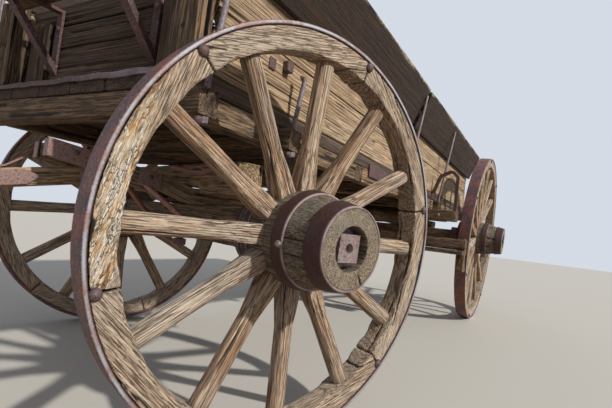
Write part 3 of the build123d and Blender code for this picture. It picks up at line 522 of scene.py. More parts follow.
def build_felloes(wheel):
    mean = wheel.inner - FELLOE_DEPTH / 2
    arc = 2 * pi / wheel.felloes * mean - FELLOE_JOINT
    rounding = inner_rounding(arc, 2 * pi / wheel.spokes * mean)
    points, quads, lids, ends = beam(arc, FELLOE_DEPTH, FELLOE_WIDTH, wheel.step, wheel.step * 1.7,
                                     FELLOE_EDGE, rounding)
    x, y, z = points.T
    turn = (x - arc / 2) / mean
    r = mean - y
    style = Style(ridge=0.0009, pitch=0.0075, cracks=7 if wheel.near else 0, crack=0.003, crack_width=0.0032,
                  crack_length=0.13, wave=0.001, ragged=0.003, pith=(0.4, 0.06))
    piece = Piece()
    for index in range(wheel.felloes):
        angle = wheel.phase + (index + 0.5) * 2 * pi / wheel.felloes + turn
        verts = wheel.centre + np.outer(r * np.cos(angle), wheel.axes[0]) \
            + np.outer(r * np.sin(angle), wheel.axes[1]) + np.outer(z - TYRE_WIDTH / 2, wheel.axes[2])
        grain = np.stack((r * np.sin(turn) + 3 * index + 11, r * np.cos(turn) - mean + style.pith[0],
                          z + style.pith[1]), axis=1)
        seed = 900 + index * 13 + 100 * wheel.number
        decay = None
        if wheel.near and index == ROTTEN_FELLOE:
            edge = 0.07 * noise(grain, (9, 30, 30), seed + 5) - 0.20 * y / (FELLOE_DEPTH / 2)
            decay = smooth(0.27, 0.40, x / arc + edge) * smooth(1.12, 0.98, x / arc - edge * 0.6)
        verts, hollow = weathered(verts, quads, grain, ends, style, seed, decay)
        if decay is not None:
            # Painted shade of a crevice along the tyre: the rotten felloe is darkened there in patches
            rim = smooth(-0.019, -0.025, y + 0.005 * noise(grain, (40, 120, 120), seed + 6))
            porous = smooth(-0.35, 0.25, noise(grain, (26, 110, 110), seed + 7))
            hollow = np.maximum(hollow, decay * rim * porous)
        piece.add(verts, quads.tolist() + lids, grain, hollow, 0.3 * (index % 3 - 1), decay)
    wheel.finish(piece, "felloe_wood", "felloe", "felloes")


def build_spokes(wheel):
    first = HUB_BELLY_R - SPOKE_IN_HUB
    length = wheel.inner - FELLOE_DEPTH + SPOKE_IN_FELLOE - first
    places = (0, SPOKE_WAIST * length, length)
    corner = ((0, 0.006), (0.05, 0.007), (places[1], 0.018), (length, 0.022))
    shape = beam(length, tuple(zip(places, SPOKE_WIDTH)), tuple(zip(places, SPOKE_DEPTH)), wheel.step,
                 wheel.step * 4, corner)
    dish = ((0, -TYRE_WIDTH / 2 - DISH), (length, -TYRE_WIDTH / 2))
    style = Style(ridge=0.0007, pitch=0.0065, cracks=4 if wheel.near else 0, crack=0.004, crack_width=0.0024,
                  crack_length=0.12, wave=0.0022, ragged=0.001, pith=(0.3, 0.05))
    out = wheel.axes[2]
    piece = Piece()
    for index in range(wheel.spokes):
        along = wheel.ray(wheel.phase + (index + 0.5) * 2 * pi / wheel.spokes)
        place_beam(piece, shape, wheel.centre + along * first, (along, np.cross(out, along), out), style,
                   2000 + index * 17 + 300 * wheel.number, shift_z=dish)
    wheel.finish(piece, "spoke_wood", "spoke", "spokes")


def build_hub(wheel):
    """Hub with drying cracks, and on its face the end grain and one split."""
    pocket = HUB_FRONT - NUT_POCKET_DEPTH
    corners = [(HUB_REAR, HUB_BORE_R), *HUB_PROFILE, (HUB_FRONT, NUT_POCKET_R), (pocket, NUT_POCKET_R),
               (pocket, HUB_BORE_R)]
    segments = round(2 * pi * HUB_BELLY_R / wheel.step * 1.3)
    verts, quads, angle, a, r = lathe(wheel, profile_loop(corners, 0.004, wheel.step * 2.4), segments)
    face = smooth(HUB_FRONT - 0.006, HUB_FRONT - 0.002, a)
    grain = np.stack((a + 5, np.sin(angle) * r * 1.4 + 0.2, np.cos(angle) * r * 1.4 + 0.2), axis=1)
    checks = drying_cracks(grain, quads, Style(cracks=24, crack_width=0.0018, crack_length=0.10), 31)
    lines = 0.5 + 0.5 * noise(grain, (3, 190, 190), 32)
    gap = off_line(angle, radians(HUB_SPLIT), r)
    wedge = face * smooth(0.0035, 0.0008, gap) * smooth(NUT_POCKET_R, HUB_NOSE_R, r)
    depth = 0.0045 * checks + 0.0009 * lines + 0.012 * wedge
    hollow = np.clip(checks + 0.45 * lines + wedge, 0, 1)
    piece = Piece()
    piece.add(verts - normals(verts, quads) * depth[:, None], quads.tolist(), grain, hollow, 2.2 * face)
    wheel.finish(piece, "hub_wood", "hub", "hub")


def iron_ring(piece, wheel, corners, radius, step, segments, seed, dent=0.0006, bare_and_sheen=None, dark=None,
              marks=()):
    """Adds one rounded iron ring with slight dents. The two functions after dent give, by place along the
    axle and radius, first how far it shows worn metal (the bands) and a painted highlight (the tyres), then
    how far it is darkened as painted shade; marks are the angles of dark lines across it."""
    verts, quads, angle, a, r = lathe(wheel, profile_loop(corners, radius, step), segments)
    dents = 0.5 + 0.5 * noise(verts, (16, 16, 16), seed) + 0.3 * noise(verts, (60, 60, 60), seed + 1)
    verts = verts - normals(verts, quads) * (dent * np.clip(dents, 0, 1.3))[:, None]
    fresh = np.zeros(len(verts)) if bare_and_sheen is None else bare_and_sheen(a, r)
    hollow = np.zeros(len(verts)) if dark is None else dark(a, r)
    for mark in marks:
        off = off_line(angle, mark, r) + 0.004 * noise(verts, (25, 25, 25), seed + 2)
        hollow = np.maximum(hollow, smooth(0.006, 0.002, np.abs(off)))
    piece.add(verts, quads.tolist(), verts, hollow, fresh=fresh)


def build_hub_bands(wheel):
    piece = Piece()
    for index, (rear, front) in enumerate(BANDS):
        low, high = hub_radius(rear) - BAND_SEAT, hub_radius(front) - BAND_SEAT
        corners = ((rear, low), (rear, low + BAND_THICK), (front, high + BAND_THICK), (front, high))
        iron_ring(piece, wheel, corners, 0.002, 0.005, round(BAND_GIRTH / wheel.step), 50 + index,
                  bare_and_sheen=lambda a, r, edge=front: smooth(edge - 0.003, edge - 0.001, a))
    wheel.finish(piece, "band_iron", "band", "hub_bands")


def build_tyre(wheel):
    """Tyre with a painted highlight on its outer side, painted shade in the gap by the felloes and, at the
    rear, marks across its tread.
    """
    inner, outer = wheel.inner, wheel.radius
    corners = ((-TYRE_WIDTH, inner), (-TYRE_WIDTH, outer), (0, outer), (0, inner))
    marked = range(wheel.spokes) if "rear" in wheel.name else ()
    marks = [2 * pi * (index + 0.53) / wheel.spokes for index in marked]

    # Painted highlight: a lighter band on the outer side, between the gap by the felloes and the outer corner
    def sheen_and_wear(a, r):
        side = smooth(-0.003, -0.001, a) * smooth(inner + 0.003, inner + 0.005, r)
        return side * smooth(outer - 0.001, outer - 0.005, r)

    # Painted shade: darkens the outer side next to the felloes, where tyre and felloe meet
    def painted_gap_shade(a, r):
        return smooth(-0.004, -0.001, a) * smooth(inner + 0.0035, inner + 0.001, r)

    piece = Piece()
    iron_ring(piece, wheel, corners, 0.004, 0.0026 if wheel.near else 0.005, round(pi * outer / wheel.step),
              70, dent=0.0008, bare_and_sheen=sheen_and_wear, dark=painted_gap_shade, marks=marks)
    wheel.finish(piece, "tyre_iron", "tyre", "tyre")


def dome(piece, centre, out, radius, height):
    """Adds a domed bolt head that stands on a face."""
    out = np.array(out) / np.linalg.norm(out)
    side = np.cross(out, X if abs(out[0]) < 0.8 else Y)
    side /= np.linalg.norm(side)
    other = np.cross(out, side)
    rings, around = 6, 16
    verts = []
    for k in range(rings + 1):
        lift = sin(pi / 2 * k / rings)
        wide = cos(pi / 2 * k / rings) if k < rings else 0.06
        for m in range(around):
            turn = 2 * pi * m / around
            spoke = side * cos(turn) + other * sin(turn)
            verts.append(centre + out * (lift * height) + spoke * radius * wide)
    verts = np.array([centre - out * 0.002 + (v - centre) for v in verts[:around]] + verts)
    quads, lids = tube_quads(rings + 2, around)
    piece.add(verts, quads.tolist() + lids, verts, np.zeros(len(verts)))


def build_felloe_bolts(wheel):
    """A bolt at each joint of two felloes."""
    out = wheel.axes[2]
    piece = Piece()
    for index in range(wheel.felloes):
        joint = wheel.ray(wheel.phase + index * 2 * pi / wheel.felloes)
        at = wheel.centre + joint * (wheel.inner - FELLOE_BOLT_IN)
        dome(piece, at - out * (TYRE_WIDTH - FELLOE_WIDTH) / 2, out, *FELLOE_BOLT)
    wheel.finish(piece, "bolts", "bolt")


def add_node(tree, kind, inputs=None, **settings):
    """Adds a node to a material or the world. Each input is a value, or the socket that feeds it."""
    made = tree.nodes.new("ShaderNode" + kind)
    for key, value in settings.items():
        setattr(made, key, value)
    for key, value in (inputs or {}).items():
        if isinstance(value, bpy.types.NodeSocket):
            tree.links.new(value, made.inputs[key])
        else:
            made.inputs[key].default_value = value
    return made


class Shader:
    """A material made of nodes, with short calls to add them."""

    def __init__(self, name, slot, roughness=0.85, metallic=0.0):
        self.material = bpy.data.materials.new(name)
        self.material.use_nodes = True
        self.material["slot"] = slot
        self.tree = self.material.node_tree
        self.surface = self.tree.nodes["Principled BSDF"]
        self.surface.inputs["Roughness"].default_value = roughness
        self.surface.inputs["Metallic"].default_value = metallic

    def node(self, kind, inputs=None, **settings):
        return add_node(self.tree, kind, inputs, **settings)

    def attribute(self, name, output="Fac"):
        return self.node("Attribute", attribute_name=name).outputs[output]

    def math(self, operation, first, second=0.0, third=0.0):
        return self.node("Math", {0: first, 1: second, 2: third}, operation=operation).outputs[0]

    def times(self, first, second, plus=None):
        """Two values multiplied, with a third added where there is one."""
        if plus is None:
            return self.math("MULTIPLY", first, second)
        return self.math("MULTIPLY_ADD", first, second, plus)

    def noise(self, vector, scale, detail=4.0, rough=0.6, warp=0.0):
        moved = self.node("Mapping", {"Vector": vector, "Scale": scale}).outputs[0]
        return self.node("TexNoise", {"Vector": moved, "Scale": 1.0, "Detail": detail, "Roughness": rough,
                                      "Distortion": warp}).outputs["Fac"]

    def ramp(self, value, low, high):
        return self.node("MapRange", {"Value": value, "From Min": low, "From Max": high},
                         interpolation_type="SMOOTHSTEP").outputs["Result"]

    def bands(self, value, *stops):
        """Colours that follow one another as a value goes from 0 to 1."""
        made = self.node("ValToRGB", {"Fac": value})
        for place, _ in stops[1:-1]:
            made.color_ramp.elements.new(place)
        for element, (place, colour) in zip(made.color_ramp.elements, stops):
            element.position = place
            element.color = (*colour, 1)
        return made.outputs["Color"]

    def mix(self, share, first, second):
        first, second = ((*colour, 1) if isinstance(colour, tuple) else colour for colour in (first, second))
        return self.node("Mix", {0: share, 6: first, 7: second}, data_type="RGBA").outputs[2]

    def finish(self, colour, height, distance):
        bump = self.node("Bump", {"Height": height, "Distance": distance, "Strength": 1.0})
        self.tree.links.new(bump.outputs["Normal"], self.surface.inputs["Normal"])
        self.tree.links.new(colour, self.surface.inputs["Base Color"])
        return self.material


def flakes(s, grain):
    """Rotten wood: chips of cream, gold and rust brown with dark pits between. Returns colour and height."""
    place = s.node("Mapping", {"Vector": grain, "Scale": (56, 220, 220)}).outputs[0]
    stir = s.node("TexNoise", {"Vector": place, "Scale": 0.6, "Detail": 3.0}).outputs["Color"]
    moved = s.node("VectorMath", {0: stir, 1: (2.2,) * 3, 2: place}, operation="MULTIPLY_ADD").outputs[0]
    cells = {"Vector": moved, "Scale": 1.0}
    level = s.node("SeparateColor", {"Color": s.node("TexVoronoi", cells).outputs["Color"]}).outputs["Red"]
    between = s.node("TexVoronoi", cells, feature="DISTANCE_TO_EDGE").outputs["Distance"]
    mixed = s.times(level, 0.55, s.times(s.noise(grain, (5, 45, 45), 3.0), 1.5, -0.50))
    colour = s.bands(mixed, (0.0, (0.20, 0.105, 0.05)), (0.18, (0.52, 0.27, 0.12)),
                     (0.36, (0.80, 0.55, 0.31)), (0.56, (0.94, 0.81, 0.64)), (1.0, (1.0, 0.97, 0.90)))
    fibre = s.ramp(s.noise(grain, (40, 520, 520), 3.0), 0.46, 0.36)
    pits = s.times(s.ramp(between, 0.10, 0.02), s.ramp(s.noise(grain, (14, 70, 70), 2.0), 0.42, 0.56))
    colour = s.mix(s.times(fibre, 0.5), colour, (0.22, 0.12, 0.055))
    colour = s.mix(s.times(pits, 0.9), colour, (0.06, 0.032, 0.018))
    return colour, s.times(pits, -1.6, s.times(level, 1.2, fibre))


def lichen(s, grain):
    """Pale lichen on an upper edge. Returns colour and height."""
    speck = s.ramp(s.noise(grain, (60, 90, 90), 5.0, 0.65), 0.42, 0.58)
    return s.mix(speck, (0.20, 0.16, 0.10), (0.60, 0.58, 0.43)), speck


def wood(name, slot, light, dark, groove, grey, strokes, stroke_share, lines, line_share, grey_share=0.5,
         worn=flakes):
    """Weathered wood. Its grain coordinates run along the timber and out from the heart of the tree.

    strokes are short dark marks, in cells a metre along and across, and lines are long grooves, metres
    apart."""
    s = Shader(name, slot)
    grain = s.attribute("grain", "Vector")
    fresh = s.attribute("fresh")
    flat = s.node("VectorMath", {0: grain, 1: (0, 1, 1)}, operation="MULTIPLY").outputs[0]
    from_heart = s.node("VectorMath", {0: flat}, operation="LENGTH").outputs["Value"]
    phase = s.times(s.noise(grain, (0.9, 6, 6), 3.0), 2.0, s.math("DIVIDE", from_heart, lines))
    phase = s.times(s.noise(grain, (5, 50, 50), 2.0), 0.7, phase)
    rings = s.times(s.math("SINE", s.times(phase, 2 * pi)), 0.5, 0.5)
    line = s.times(s.math("POWER", rings, 7.0), s.ramp(s.noise(grain, (5, 40, 40), 2.0), 0.38, 0.55))
    streaks = s.noise(grain, (2.5, 130, 130), 6.0, 0.65)
    along, across = strokes
    stroke = s.ramp(s.noise(grain, (along, across, across), 2.0, 0.5, 0.2), 0.465, 0.42)
    fibre = s.ramp(s.noise(grain, (along * 1.6, across * 2.6, across * 2.6), 3.0), 0.50, 0.38)
    blotches = s.ramp(s.noise(grain, (1.6, 6, 6)), 0.42, 0.66)
    colour = s.mix(s.ramp(streaks, 0.40, 0.60), dark, light)
    colour = s.mix(s.times(blotches, grey_share), colour, grey)
    for mark, share in ((line, line_share), (fibre, 0.35), (stroke, stroke_share)):
        colour = s.mix(s.times(mark, share), colour, groove)
    shade = s.times(s.attribute("tone"), 0.20, 1.0)
    colour = s.node("VectorMath", {0: colour, 3: shade}, operation="SCALE").outputs[0]
    height = s.times(streaks, 0.5)
    for mark, depth in ((line, -0.8), (fibre, -0.3), (stroke, -0.9)):
        height = s.times(mark, depth, height)
    patch, relief = worn(s, grain)
    height = s.times(s.times(relief, fresh), 0.65, height)
    colour = s.mix(fresh, colour, patch)
    # Near black by how hollow a point lies: painted shade in grooves, cracks, the hub's split, broken ends,
    # rot pits and the crevice by the tyre, and the dark of knots
    colour = s.mix(s.ramp(s.attribute("hollow"), 0.2, 0.8), colour, (0.022, 0.014, 0.010))
    return s.finish(colour, height, WOOD_BUMP)


def iron(name, slot, base, rust, worn, rust_share=0.5, specks=0.6):
    """Old iron: a dark skin with rust patches and lighter worn spots, plus painted highlights, painted
    sunlight and painted shade where the attributes ask for them.
    """
    s = Shader(name, slot, roughness=0.62, metallic=0.35)
    place = s.node("TexCoord").outputs["Object"]
    patch = s.noise(place, (14,) * 3, 6.0, 0.65)
    speck = s.noise(place, (160,) * 3)
    fine = s.noise(place, (600,) * 3, 3.0)
    sheen_and_wear = s.times(s.ramp(patch, 0.62, 0.42), 0.55, 0.40)
    colour = s.mix(s.times(s.ramp(patch, 0.42, 0.60), rust_share), base, rust)
    colour = s.mix(s.times(s.ramp(speck, 0.55, 0.72), specks), colour, worn)
    colour = s.mix(s.times(s.ramp(speck, 0.47, 0.36), 0.6), colour, (0.03, 0.02, 0.018))
    # Lighter where the fresh attribute is set: worn metal on the hub bands, a painted highlight on the tyres,
    # painted sunlight on the floor strap
    colour = s.mix(s.times(s.attribute("fresh"), sheen_and_wear), colour, worn)
    # Near black where hollow: painted shade in the tyres' gap by the felloes, and dark marks across the rear
    # tyres
    colour = s.mix(s.attribute("hollow"), colour, (0.02, 0.012, 0.01))
    return s.finish(colour, s.times(speck, 0.8, s.times(fine, 0.3)), IRON_BUMP)


WOOD_BUMP = 0.0016
IRON_BUMP = 0.0011
# Woods: name, slot, colours of light streaks, dark streaks, grooves and grey patches, then the strokes and
# their share, the lines' distance and their share, and the share of grey. Irons: name, slot, colours of skin,
# rust and worn metal, and the share of rust. The worn metal colour also paints the highlight on the tyres and
# the sunlight on the floor strap.
MATERIALS = {
    # The sunlit copy of the board wood. The shaded entry below is its dark copy, painted shade
    "board": wood("sunlit board", "board_wood", (0.74, 0.555, 0.365), (0.44, 0.295, 0.165),
        (0.10, 0.055, 0.028), (0.57, 0.46, 0.34), (6, 330), 0.6, 0.0115, 0.95),
    # Near-black flare wood: painted shade for the flare boards' undersides, with pale lichen along their
    # upper edges
    "flare": wood("painted shade flare board", "board_wood", (0.060, 0.028, 0.012), (0.023, 0.011, 0.006),
        (0.009, 0.005, 0.004), (0.050, 0.029, 0.017), (7, 150), 0.6, 0.02, 0.5, 0.4, worn=lichen),
    "frame": wood("frame timber", "frame_wood", (0.39, 0.26, 0.155), (0.16, 0.10, 0.056),
        (0.03, 0.018, 0.011), (0.30, 0.235, 0.165), (16, 260), 0.75, 0.012, 0.6),
    # A darker copy of the frame timber: painted shade for the posts' shaded fronts
    "post": wood("painted shade post timber", "frame_wood", (0.34, 0.22, 0.13), (0.11, 0.068, 0.038),
        (0.018, 0.011, 0.008), (0.22, 0.17, 0.12), (14, 260), 0.8, 0.009, 0.8),
    # A lighter copy of the frame timber: painted sunlight on the hounds, the sand board and the tongue
    "gear": wood("painted sunlit gear timber", "frame_wood", (0.66, 0.48, 0.30), (0.36, 0.24, 0.14),
        (0.06, 0.036, 0.02), (0.50, 0.40, 0.29), (18, 280), 0.75, 0.010, 0.6),
    # A dark copy of the board wood: painted shade for the headboard, its cleats and the floor planks
    "shaded": wood("painted shade board", "board_wood", (0.21, 0.135, 0.09), (0.09, 0.058, 0.039),
        (0.017, 0.010, 0.007), (0.16, 0.12, 0.095), (5, 420), 0.7, 0.0085, 0.95),
    "felloe": wood("felloe wood", "wheel_wood", (0.77, 0.63, 0.49), (0.46, 0.335, 0.235),
        (0.085, 0.05, 0.03), (0.64, 0.55, 0.46), (24, 440), 0.8, 0.007, 0.7, 0.6),
    "spoke": wood("spoke wood", "wheel_wood", (0.76, 0.58, 0.42), (0.37, 0.215, 0.12),
        (0.07, 0.036, 0.02), (0.74, 0.66, 0.56), (14, 330), 0.75, 0.006, 0.75, 0.8),
    "hub": wood("hub wood", "wheel_wood", (0.44, 0.36, 0.27), (0.18, 0.14, 0.10),
        (0.028, 0.021, 0.015), (0.36, 0.33, 0.27), (26, 420), 0.75, 0.006, 0.7, 0.6),
    # Its worn colour also paints the highlight along the tyres' outer side
    "tyre": iron("tyre iron", "iron_tyre", (0.12, 0.068, 0.074), (0.28, 0.10, 0.065),
        (0.50, 0.51, 0.56), 0.75),
    "band": iron("band iron", "rusty_iron", (0.055, 0.026, 0.024), (0.085, 0.034, 0.026),
        (0.40, 0.30, 0.30), specks=0.12),
    "bolt": iron("bolt iron", "rusty_iron", (0.13, 0.09, 0.095), (0.17, 0.085, 0.07), (0.30, 0.25, 0.26)),
    "nut": iron("nut iron", "rusty_iron", (0.34, 0.27, 0.27), (0.22, 0.13, 0.11), (0.60, 0.52, 0.54)),
    "strap": iron("strap iron", "rusty_iron", (0.10, 0.06, 0.062), (0.20, 0.09, 0.075), (0.42, 0.34, 0.40)),
    # Lighter than the strap iron: painted sunlight on the hound and tongue plates
    "plate": iron("painted sunlit plate iron", "rusty_iron", (0.30, 0.20, 0.19), (0.30, 0.15, 0.115),
        (0.46, 0.36, 0.37)),
    # Rusty red iron, painted lighter: painted sunlight on the sand board's strap and braces
    "red": iron("painted sunlit red iron", "rusty_iron", (0.46, 0.25, 0.22), (0.62, 0.20, 0.12), (0.62, 0.52, 0.56)),
    "rod": iron("rod iron", "rusty_iron", (0.27, 0.235, 0.26), (0.20, 0.12, 0.10), (0.50, 0.47, 0.52)),
}

for wheel_name, facts in WHEELS.items():
    for build in (build_tyre, build_felloes, build_felloe_bolts, build_spokes, build_hub, build_hub_bands):
        build(Wheel(wheel_name, *facts))

# The front gear has axes of its own, turned about the kingpin
LEFT = -np.array(JOINTS["tongue_lift"]["axis"])
FORWARD = np.cross(LEFT, Z)
GEAR = (FORWARD, LEFT, Z)
KINGPIN = np.array((JOINTS["steer"]["pos_m"][0], 0, 0))
TONGUE_PIVOT = np.array(JOINTS["tongue_lift"]["pos_m"])
REAR_X, _, REAR_Z = JOINTS["rear_left_wheel_spin"]["pos_m"]

# Hound: distance ahead of the axle, then how far out it lies, the height of its middle, and its own height
HOUND_WIDTH = 0.058
HOUND_OUT = ((-0.530, 0.285), (-0.060, 0.170), (0.140, 0.078), (0.515, 0.078))
HOUND_MIDDLE = ((-0.530, 0.657), (0.050, 0.657), (0.140, 0.691), (0.515, 0.745))
HOUND_TALL = ((-0.530, 0.062), (0.140, 0.062), (0.515, 0.056))
# Sand board: length, width and the height of its top, then its underside: distance out and height
SAND_BOARD = (0.900, 0.100, 0.780)
SAND_BOARD_LOW = ((0.0, 0.697), (0.086, 0.697), (0.088, 0.689), (0.196, 0.689), (0.198, 0.665),
                  (0.450, 0.665))
# Tongue: slope in degrees, heel and tip from the pivot, its section, and its taper to a round tip
TONGUE_SLOPE = 11.4
TONGUE = (-0.060, 3.300)
TONGUE_WIDTH = 0.072
TONGUE_TALL = 0.064
TONGUE_CORNER = 0.009
TAPER_START = 0.56
TIP_LENGTH = 0.130
TIP_WIDTH = 0.054
# Reach and rear hounds: their sections, and by places along the wagon their middles' heights or distances out
REACH = (0.076, 0.060)
REACH_MIDDLE = ((-1.570, 0.746), (-1.110, 0.746), (0.610, 0.661), (1.370, 0.661))
REAR_HOUND = (0.058, 0.060)
REAR_HOUND_OUT = ((-0.150, 0.330), (0.060, 0.300), (0.760, 0.0673))
REAR_HOUND_MIDDLE = 0.746
SHOE = (0.404, 0.640, 0.052)     # heights of its ends, and its width
# Staples on the side boards: place along the wagon, height, and how far each stands out
STAPLES = ((1.512, 1.082, 0.006), (1.437, 1.098, 0.024))
STAPLE_SIZE = (0.034, 0.036)
STAPLE_IN = 0.004
BOX_SIDE = 0.5
# Bolts of the footboard's brackets: place ahead, distance out, and heights
BRACKET_BOLTS = (1.7595, 0.25, (1.174, 1.050))
# Bolts of the hound plates: distance ahead of the axle, height and radius
HOUND_BOLTS = ((0.438, 0.740, 0.009), (0.193, 0.703, 0.009))
HOUND_PLATE_OUT = 0.112
# Bolt on the near wheel's hub band: its place and the way it faces
HUB_BOLT_AT = (1.686, 0.714, 0.545)
HUB_BOLT_FACES = (0.98, -0.13, -0.13)
# Radius and height of bolt heads
BRACKET_HEAD = (0.010, 0.006)
ROD_HEAD = (0.011, 0.009)
ROD_NUT = (0.013, 0.010)
BLOCK_HEAD = (0.011, 0.008)
HUB_HEAD = (0.009, 0.006)
# Strap on the sand board: distance out and height. Brace: how far ahead, out and up its ends are
STRAP_RISE = ((-0.055, 0.766), (0.0, 0.763), (0.062, 0.754), (0.140, 0.744), (0.222, 0.741), (0.275, 0.749),
              (0.330, 0.762), (0.385, 0.767), (0.430, 0.762))
BRACE = ((0.207, 0.098, 0.676), (0.047, 0.186, 0.545))
SAND_BOARD_FRONT = 0.052
STRAP_SIZE = (0.017, 0.006)
BRACE_WIDTH = 0.020
IRON_EDGE = 0.0012           # rounding of the irons' sharp edges
SHARP = radians(35)


def from_start(pairs, sign=1):
    """A table with its places measured from the first, and its values turned by a sign."""
    return tuple((place - pairs[0][0], sign * value) for place, value in pairs)


def build_hounds():
    first, last = HOUND_OUT[0][0], HOUND_OUT[-1][0]
    shape = beam(last - first, HOUND_WIDTH, from_start(HOUND_TALL), 0.006, 0.015)
    piece = Piece()
    for side in (1, -1):
        place_beam(piece, shape, KINGPIN + first * FORWARD, GEAR, SQUARE, 300 + side,
                   from_start(HOUND_OUT, side), from_start(HOUND_MIDDLE))
    piece.replace("front_hounds", "gear", "front_gear")


def build_sand_board():
    """Sand board, its underside stepped over the axle and the hounds."""
    length, width, top = SAND_BOARD
    half = length / 2
    under = [(half - out, z) for out, z in reversed(SAND_BOARD_LOW)]
    under += [(half + out, z) for out, z in SAND_BOARD_LOW[1:]]
    shape = beam(length, width, [(place, top - low) for place, low in under], 0.006, 0.012)
    piece = Piece()
    place_beam(piece, shape, KINGPIN - half * LEFT, (LEFT, -FORWARD, Z), SQUARE, 311,
               shift_z=[(place, (top + low) / 2) for place, low in under])
    piece.replace("sand_board", "gear", "front_gear")


def build_tongue():
    slope = radians(TONGUE_SLOPE)
    along = FORWARD * cos(slope) - Z * sin(slope)
    heel, tip = TONGUE
    length = tip - heel
    square = tip - TIP_LENGTH - heel
    before, after = square - 0.01, square + 0.01
    width = ((0, TONGUE_WIDTH), (before, TONGUE_WIDTH), (after, TIP_WIDTH), (length, TIP_WIDTH))
    height = ((0, TONGUE_TALL), (TAPER_START, TONGUE_TALL), (square, TIP_WIDTH), (length, TIP_WIDTH))
    corner = ((0, TONGUE_CORNER), (before, TONGUE_CORNER), (after, TIP_WIDTH / 2), (length, TIP_WIDTH / 2))
    piece = Piece()
    place_beam(piece, beam(length, width, height, 0.007, 0.02, corner), TONGUE_PIVOT + heel * along,
               (along, LEFT, np.cross(along, LEFT)), SQUARE, 321)
    piece.replace("tongue", "gear", "tongue")


def build_reach():
    first, last = REACH_MIDDLE[0][0], REACH_MIDDLE[-1][0]
    piece = Piece()
    place_beam(piece, beam(last - first, *REACH, 0.008, 0.02), first * X, (X, Y, Z), SQUARE, 331,
               shift_z=from_start(REACH_MIDDLE))
    piece.replace("reach", "frame", "root")


def build_rear_hounds():
    start = np.array((REAR_X + REAR_HOUND_OUT[0][0], 0, REAR_HOUND_MIDDLE))
    piece = Piece()
    for side in (1, -1):
        out = from_start(REAR_HOUND_OUT, side)
        shape = beam(out[-1][0], *REAR_HOUND, 0.008, 0.02)
        place_beam(piece, shape, start, (X, Y, Z), SQUARE, 341 + side, out)
    piece.replace("rear_hounds", "frame", "root")


def build_shoes():
    """Brake blocks, hollowed to the rear wheels."""
    piece = Piece()
    low, high, width = SHOE
    spots = np.linspace(0, high - low, 9)
    for points in solids("brake_shoes"):
        face, front = points[:, 0].min(), points[:, 0].max()
        middle = (points[:, 1].max() + points[:, 1].min()) / 2
        radius = hypot(face - REAR_X, low - REAR_Z)
        backs = REAR_X + np.sqrt(radius ** 2 - (low + spots - REAR_Z) ** 2)
        shape = beam(high - low, list(zip(spots, front - backs)), width, 0.008, 0.012)
        place_beam(piece, shape, np.array((0, middle, low)), (Z, X, Y), SQUARE, 351,
                   list(zip(spots, (front + backs) / 2)))
    piece.replace("brake_shoes", "frame", "root")


def worn_irons(node, body, material):
    """Replaces an iron node by the same shape with its sharp edges rounded."""
    form = bmesh.new()
    form.from_mesh(frame["nodes"][node].data)
    bmesh.ops.remove_doubles(form, verts=form.verts, dist=1e-5)
    bmesh.ops.dissolve_limit(form, angle_limit=radians(1), verts=form.verts, edges=form.edges)
    for face in form.faces:
        angles = [edge.calc_face_angle(0) for edge in face.edges]
        face.smooth = any(radians(1.5) < angle < SHARP for angle in angles)
    sharp = [edge for edge in form.edges if edge.calc_face_angle(0) > SHARP]
    made = bmesh.ops.bevel(form, geom=sharp, offset=IRON_EDGE, segments=2, profile=0.5, affect="EDGES",
                           clamp_overlap=True)
    for face in made["faces"]:
        face.smooth = True
    mesh = bpy.data.meshes.new(node + "_iron")
    form.to_mesh(mesh)
    form.free()
    put(node + "_iron", mesh, material, body, [node])


# Straight timbers: node, seed, mesh steps across and along, material, style, axes and body
for row in (
        ("side_boards", 1, 0.0048, 0.035, "board", BOARD), ("floor_planks", 3, 0.020, 0.06, "shaded", PLAIN),
        ("cross_sills", 4, 0.010, 0.028), ("side_sills", 5, 0.011, 0.045),
        ("front_posts", 6, 0.005, 0.012, "post", POST), ("headboard", 7, 0.005, 0.015, "shaded", BOARD),
        ("headboard_cleats", 14, 0.006, 0.012, "shaded"), ("tailboard", 8, 0.008, 0.02, "frame", BOARD),
        ("footboard", 9, 0.008, 0.02, "frame", PLAIN), ("front_bolster", 10), ("rear_bolster", 11),
        ("rear_axle", 12), ("brake_beam", 13), ("brake_plank", 15), ("brake_block", 16),
        ("front_axle", 17, 0.008, 0.02, "frame", SQUARE, GEAR, "front_gear"),
        ("sway_bar", 18, 0.008, 0.02, "frame", SQUARE, GEAR, "front_gear")):
    straight_timbers(*row)
build_hounds()
build_sand_board()
build_tongue()
build_reach()
build_rear_hounds()
build_shoes()


def build_flare():
    """Flare boards, each side in its own slanted axes, with lichen along their upper edges."""
    piece = Piece()
    for index, points in enumerate(solids("flare_boards")):
        foot = points[points[:, 2] < points[:, 2].min() + 0.005]
        tip = points[points[:, 2] > points[:, 2].max() - 0.005]
        rise = np.array((0, tip[:, 1].mean() - foot[:, 1].mean(), tip[:, 2].mean() - foot[:, 2].mean()))
        rise /= np.linalg.norm(rise)
        axes = np.array((X, rise, np.cross(X, rise)))
        local = points @ axes.T
        low, high = local.min(0), local.max(0)
        size = high - low
        start = np.array((low[0], *((low + high) / 2)[1:])) @ axes

        def upper_edge(places, grain, half=size[1] / 2):
            edge = places[:, 1] - half + 0.008 * noise(grain, (9, 40, 40), 7)
            return smooth(-0.016, -0.006, edge) * smooth(-0.5, 0.3, noise(grain, (14, 60, 60), 9))

        place_beam(piece, beam(*size, 0.008, 0.016), start, axes, FLARE, 200 + index, fresh=upper_edge)
    piece.replace("flare_boards", "flare", "root")


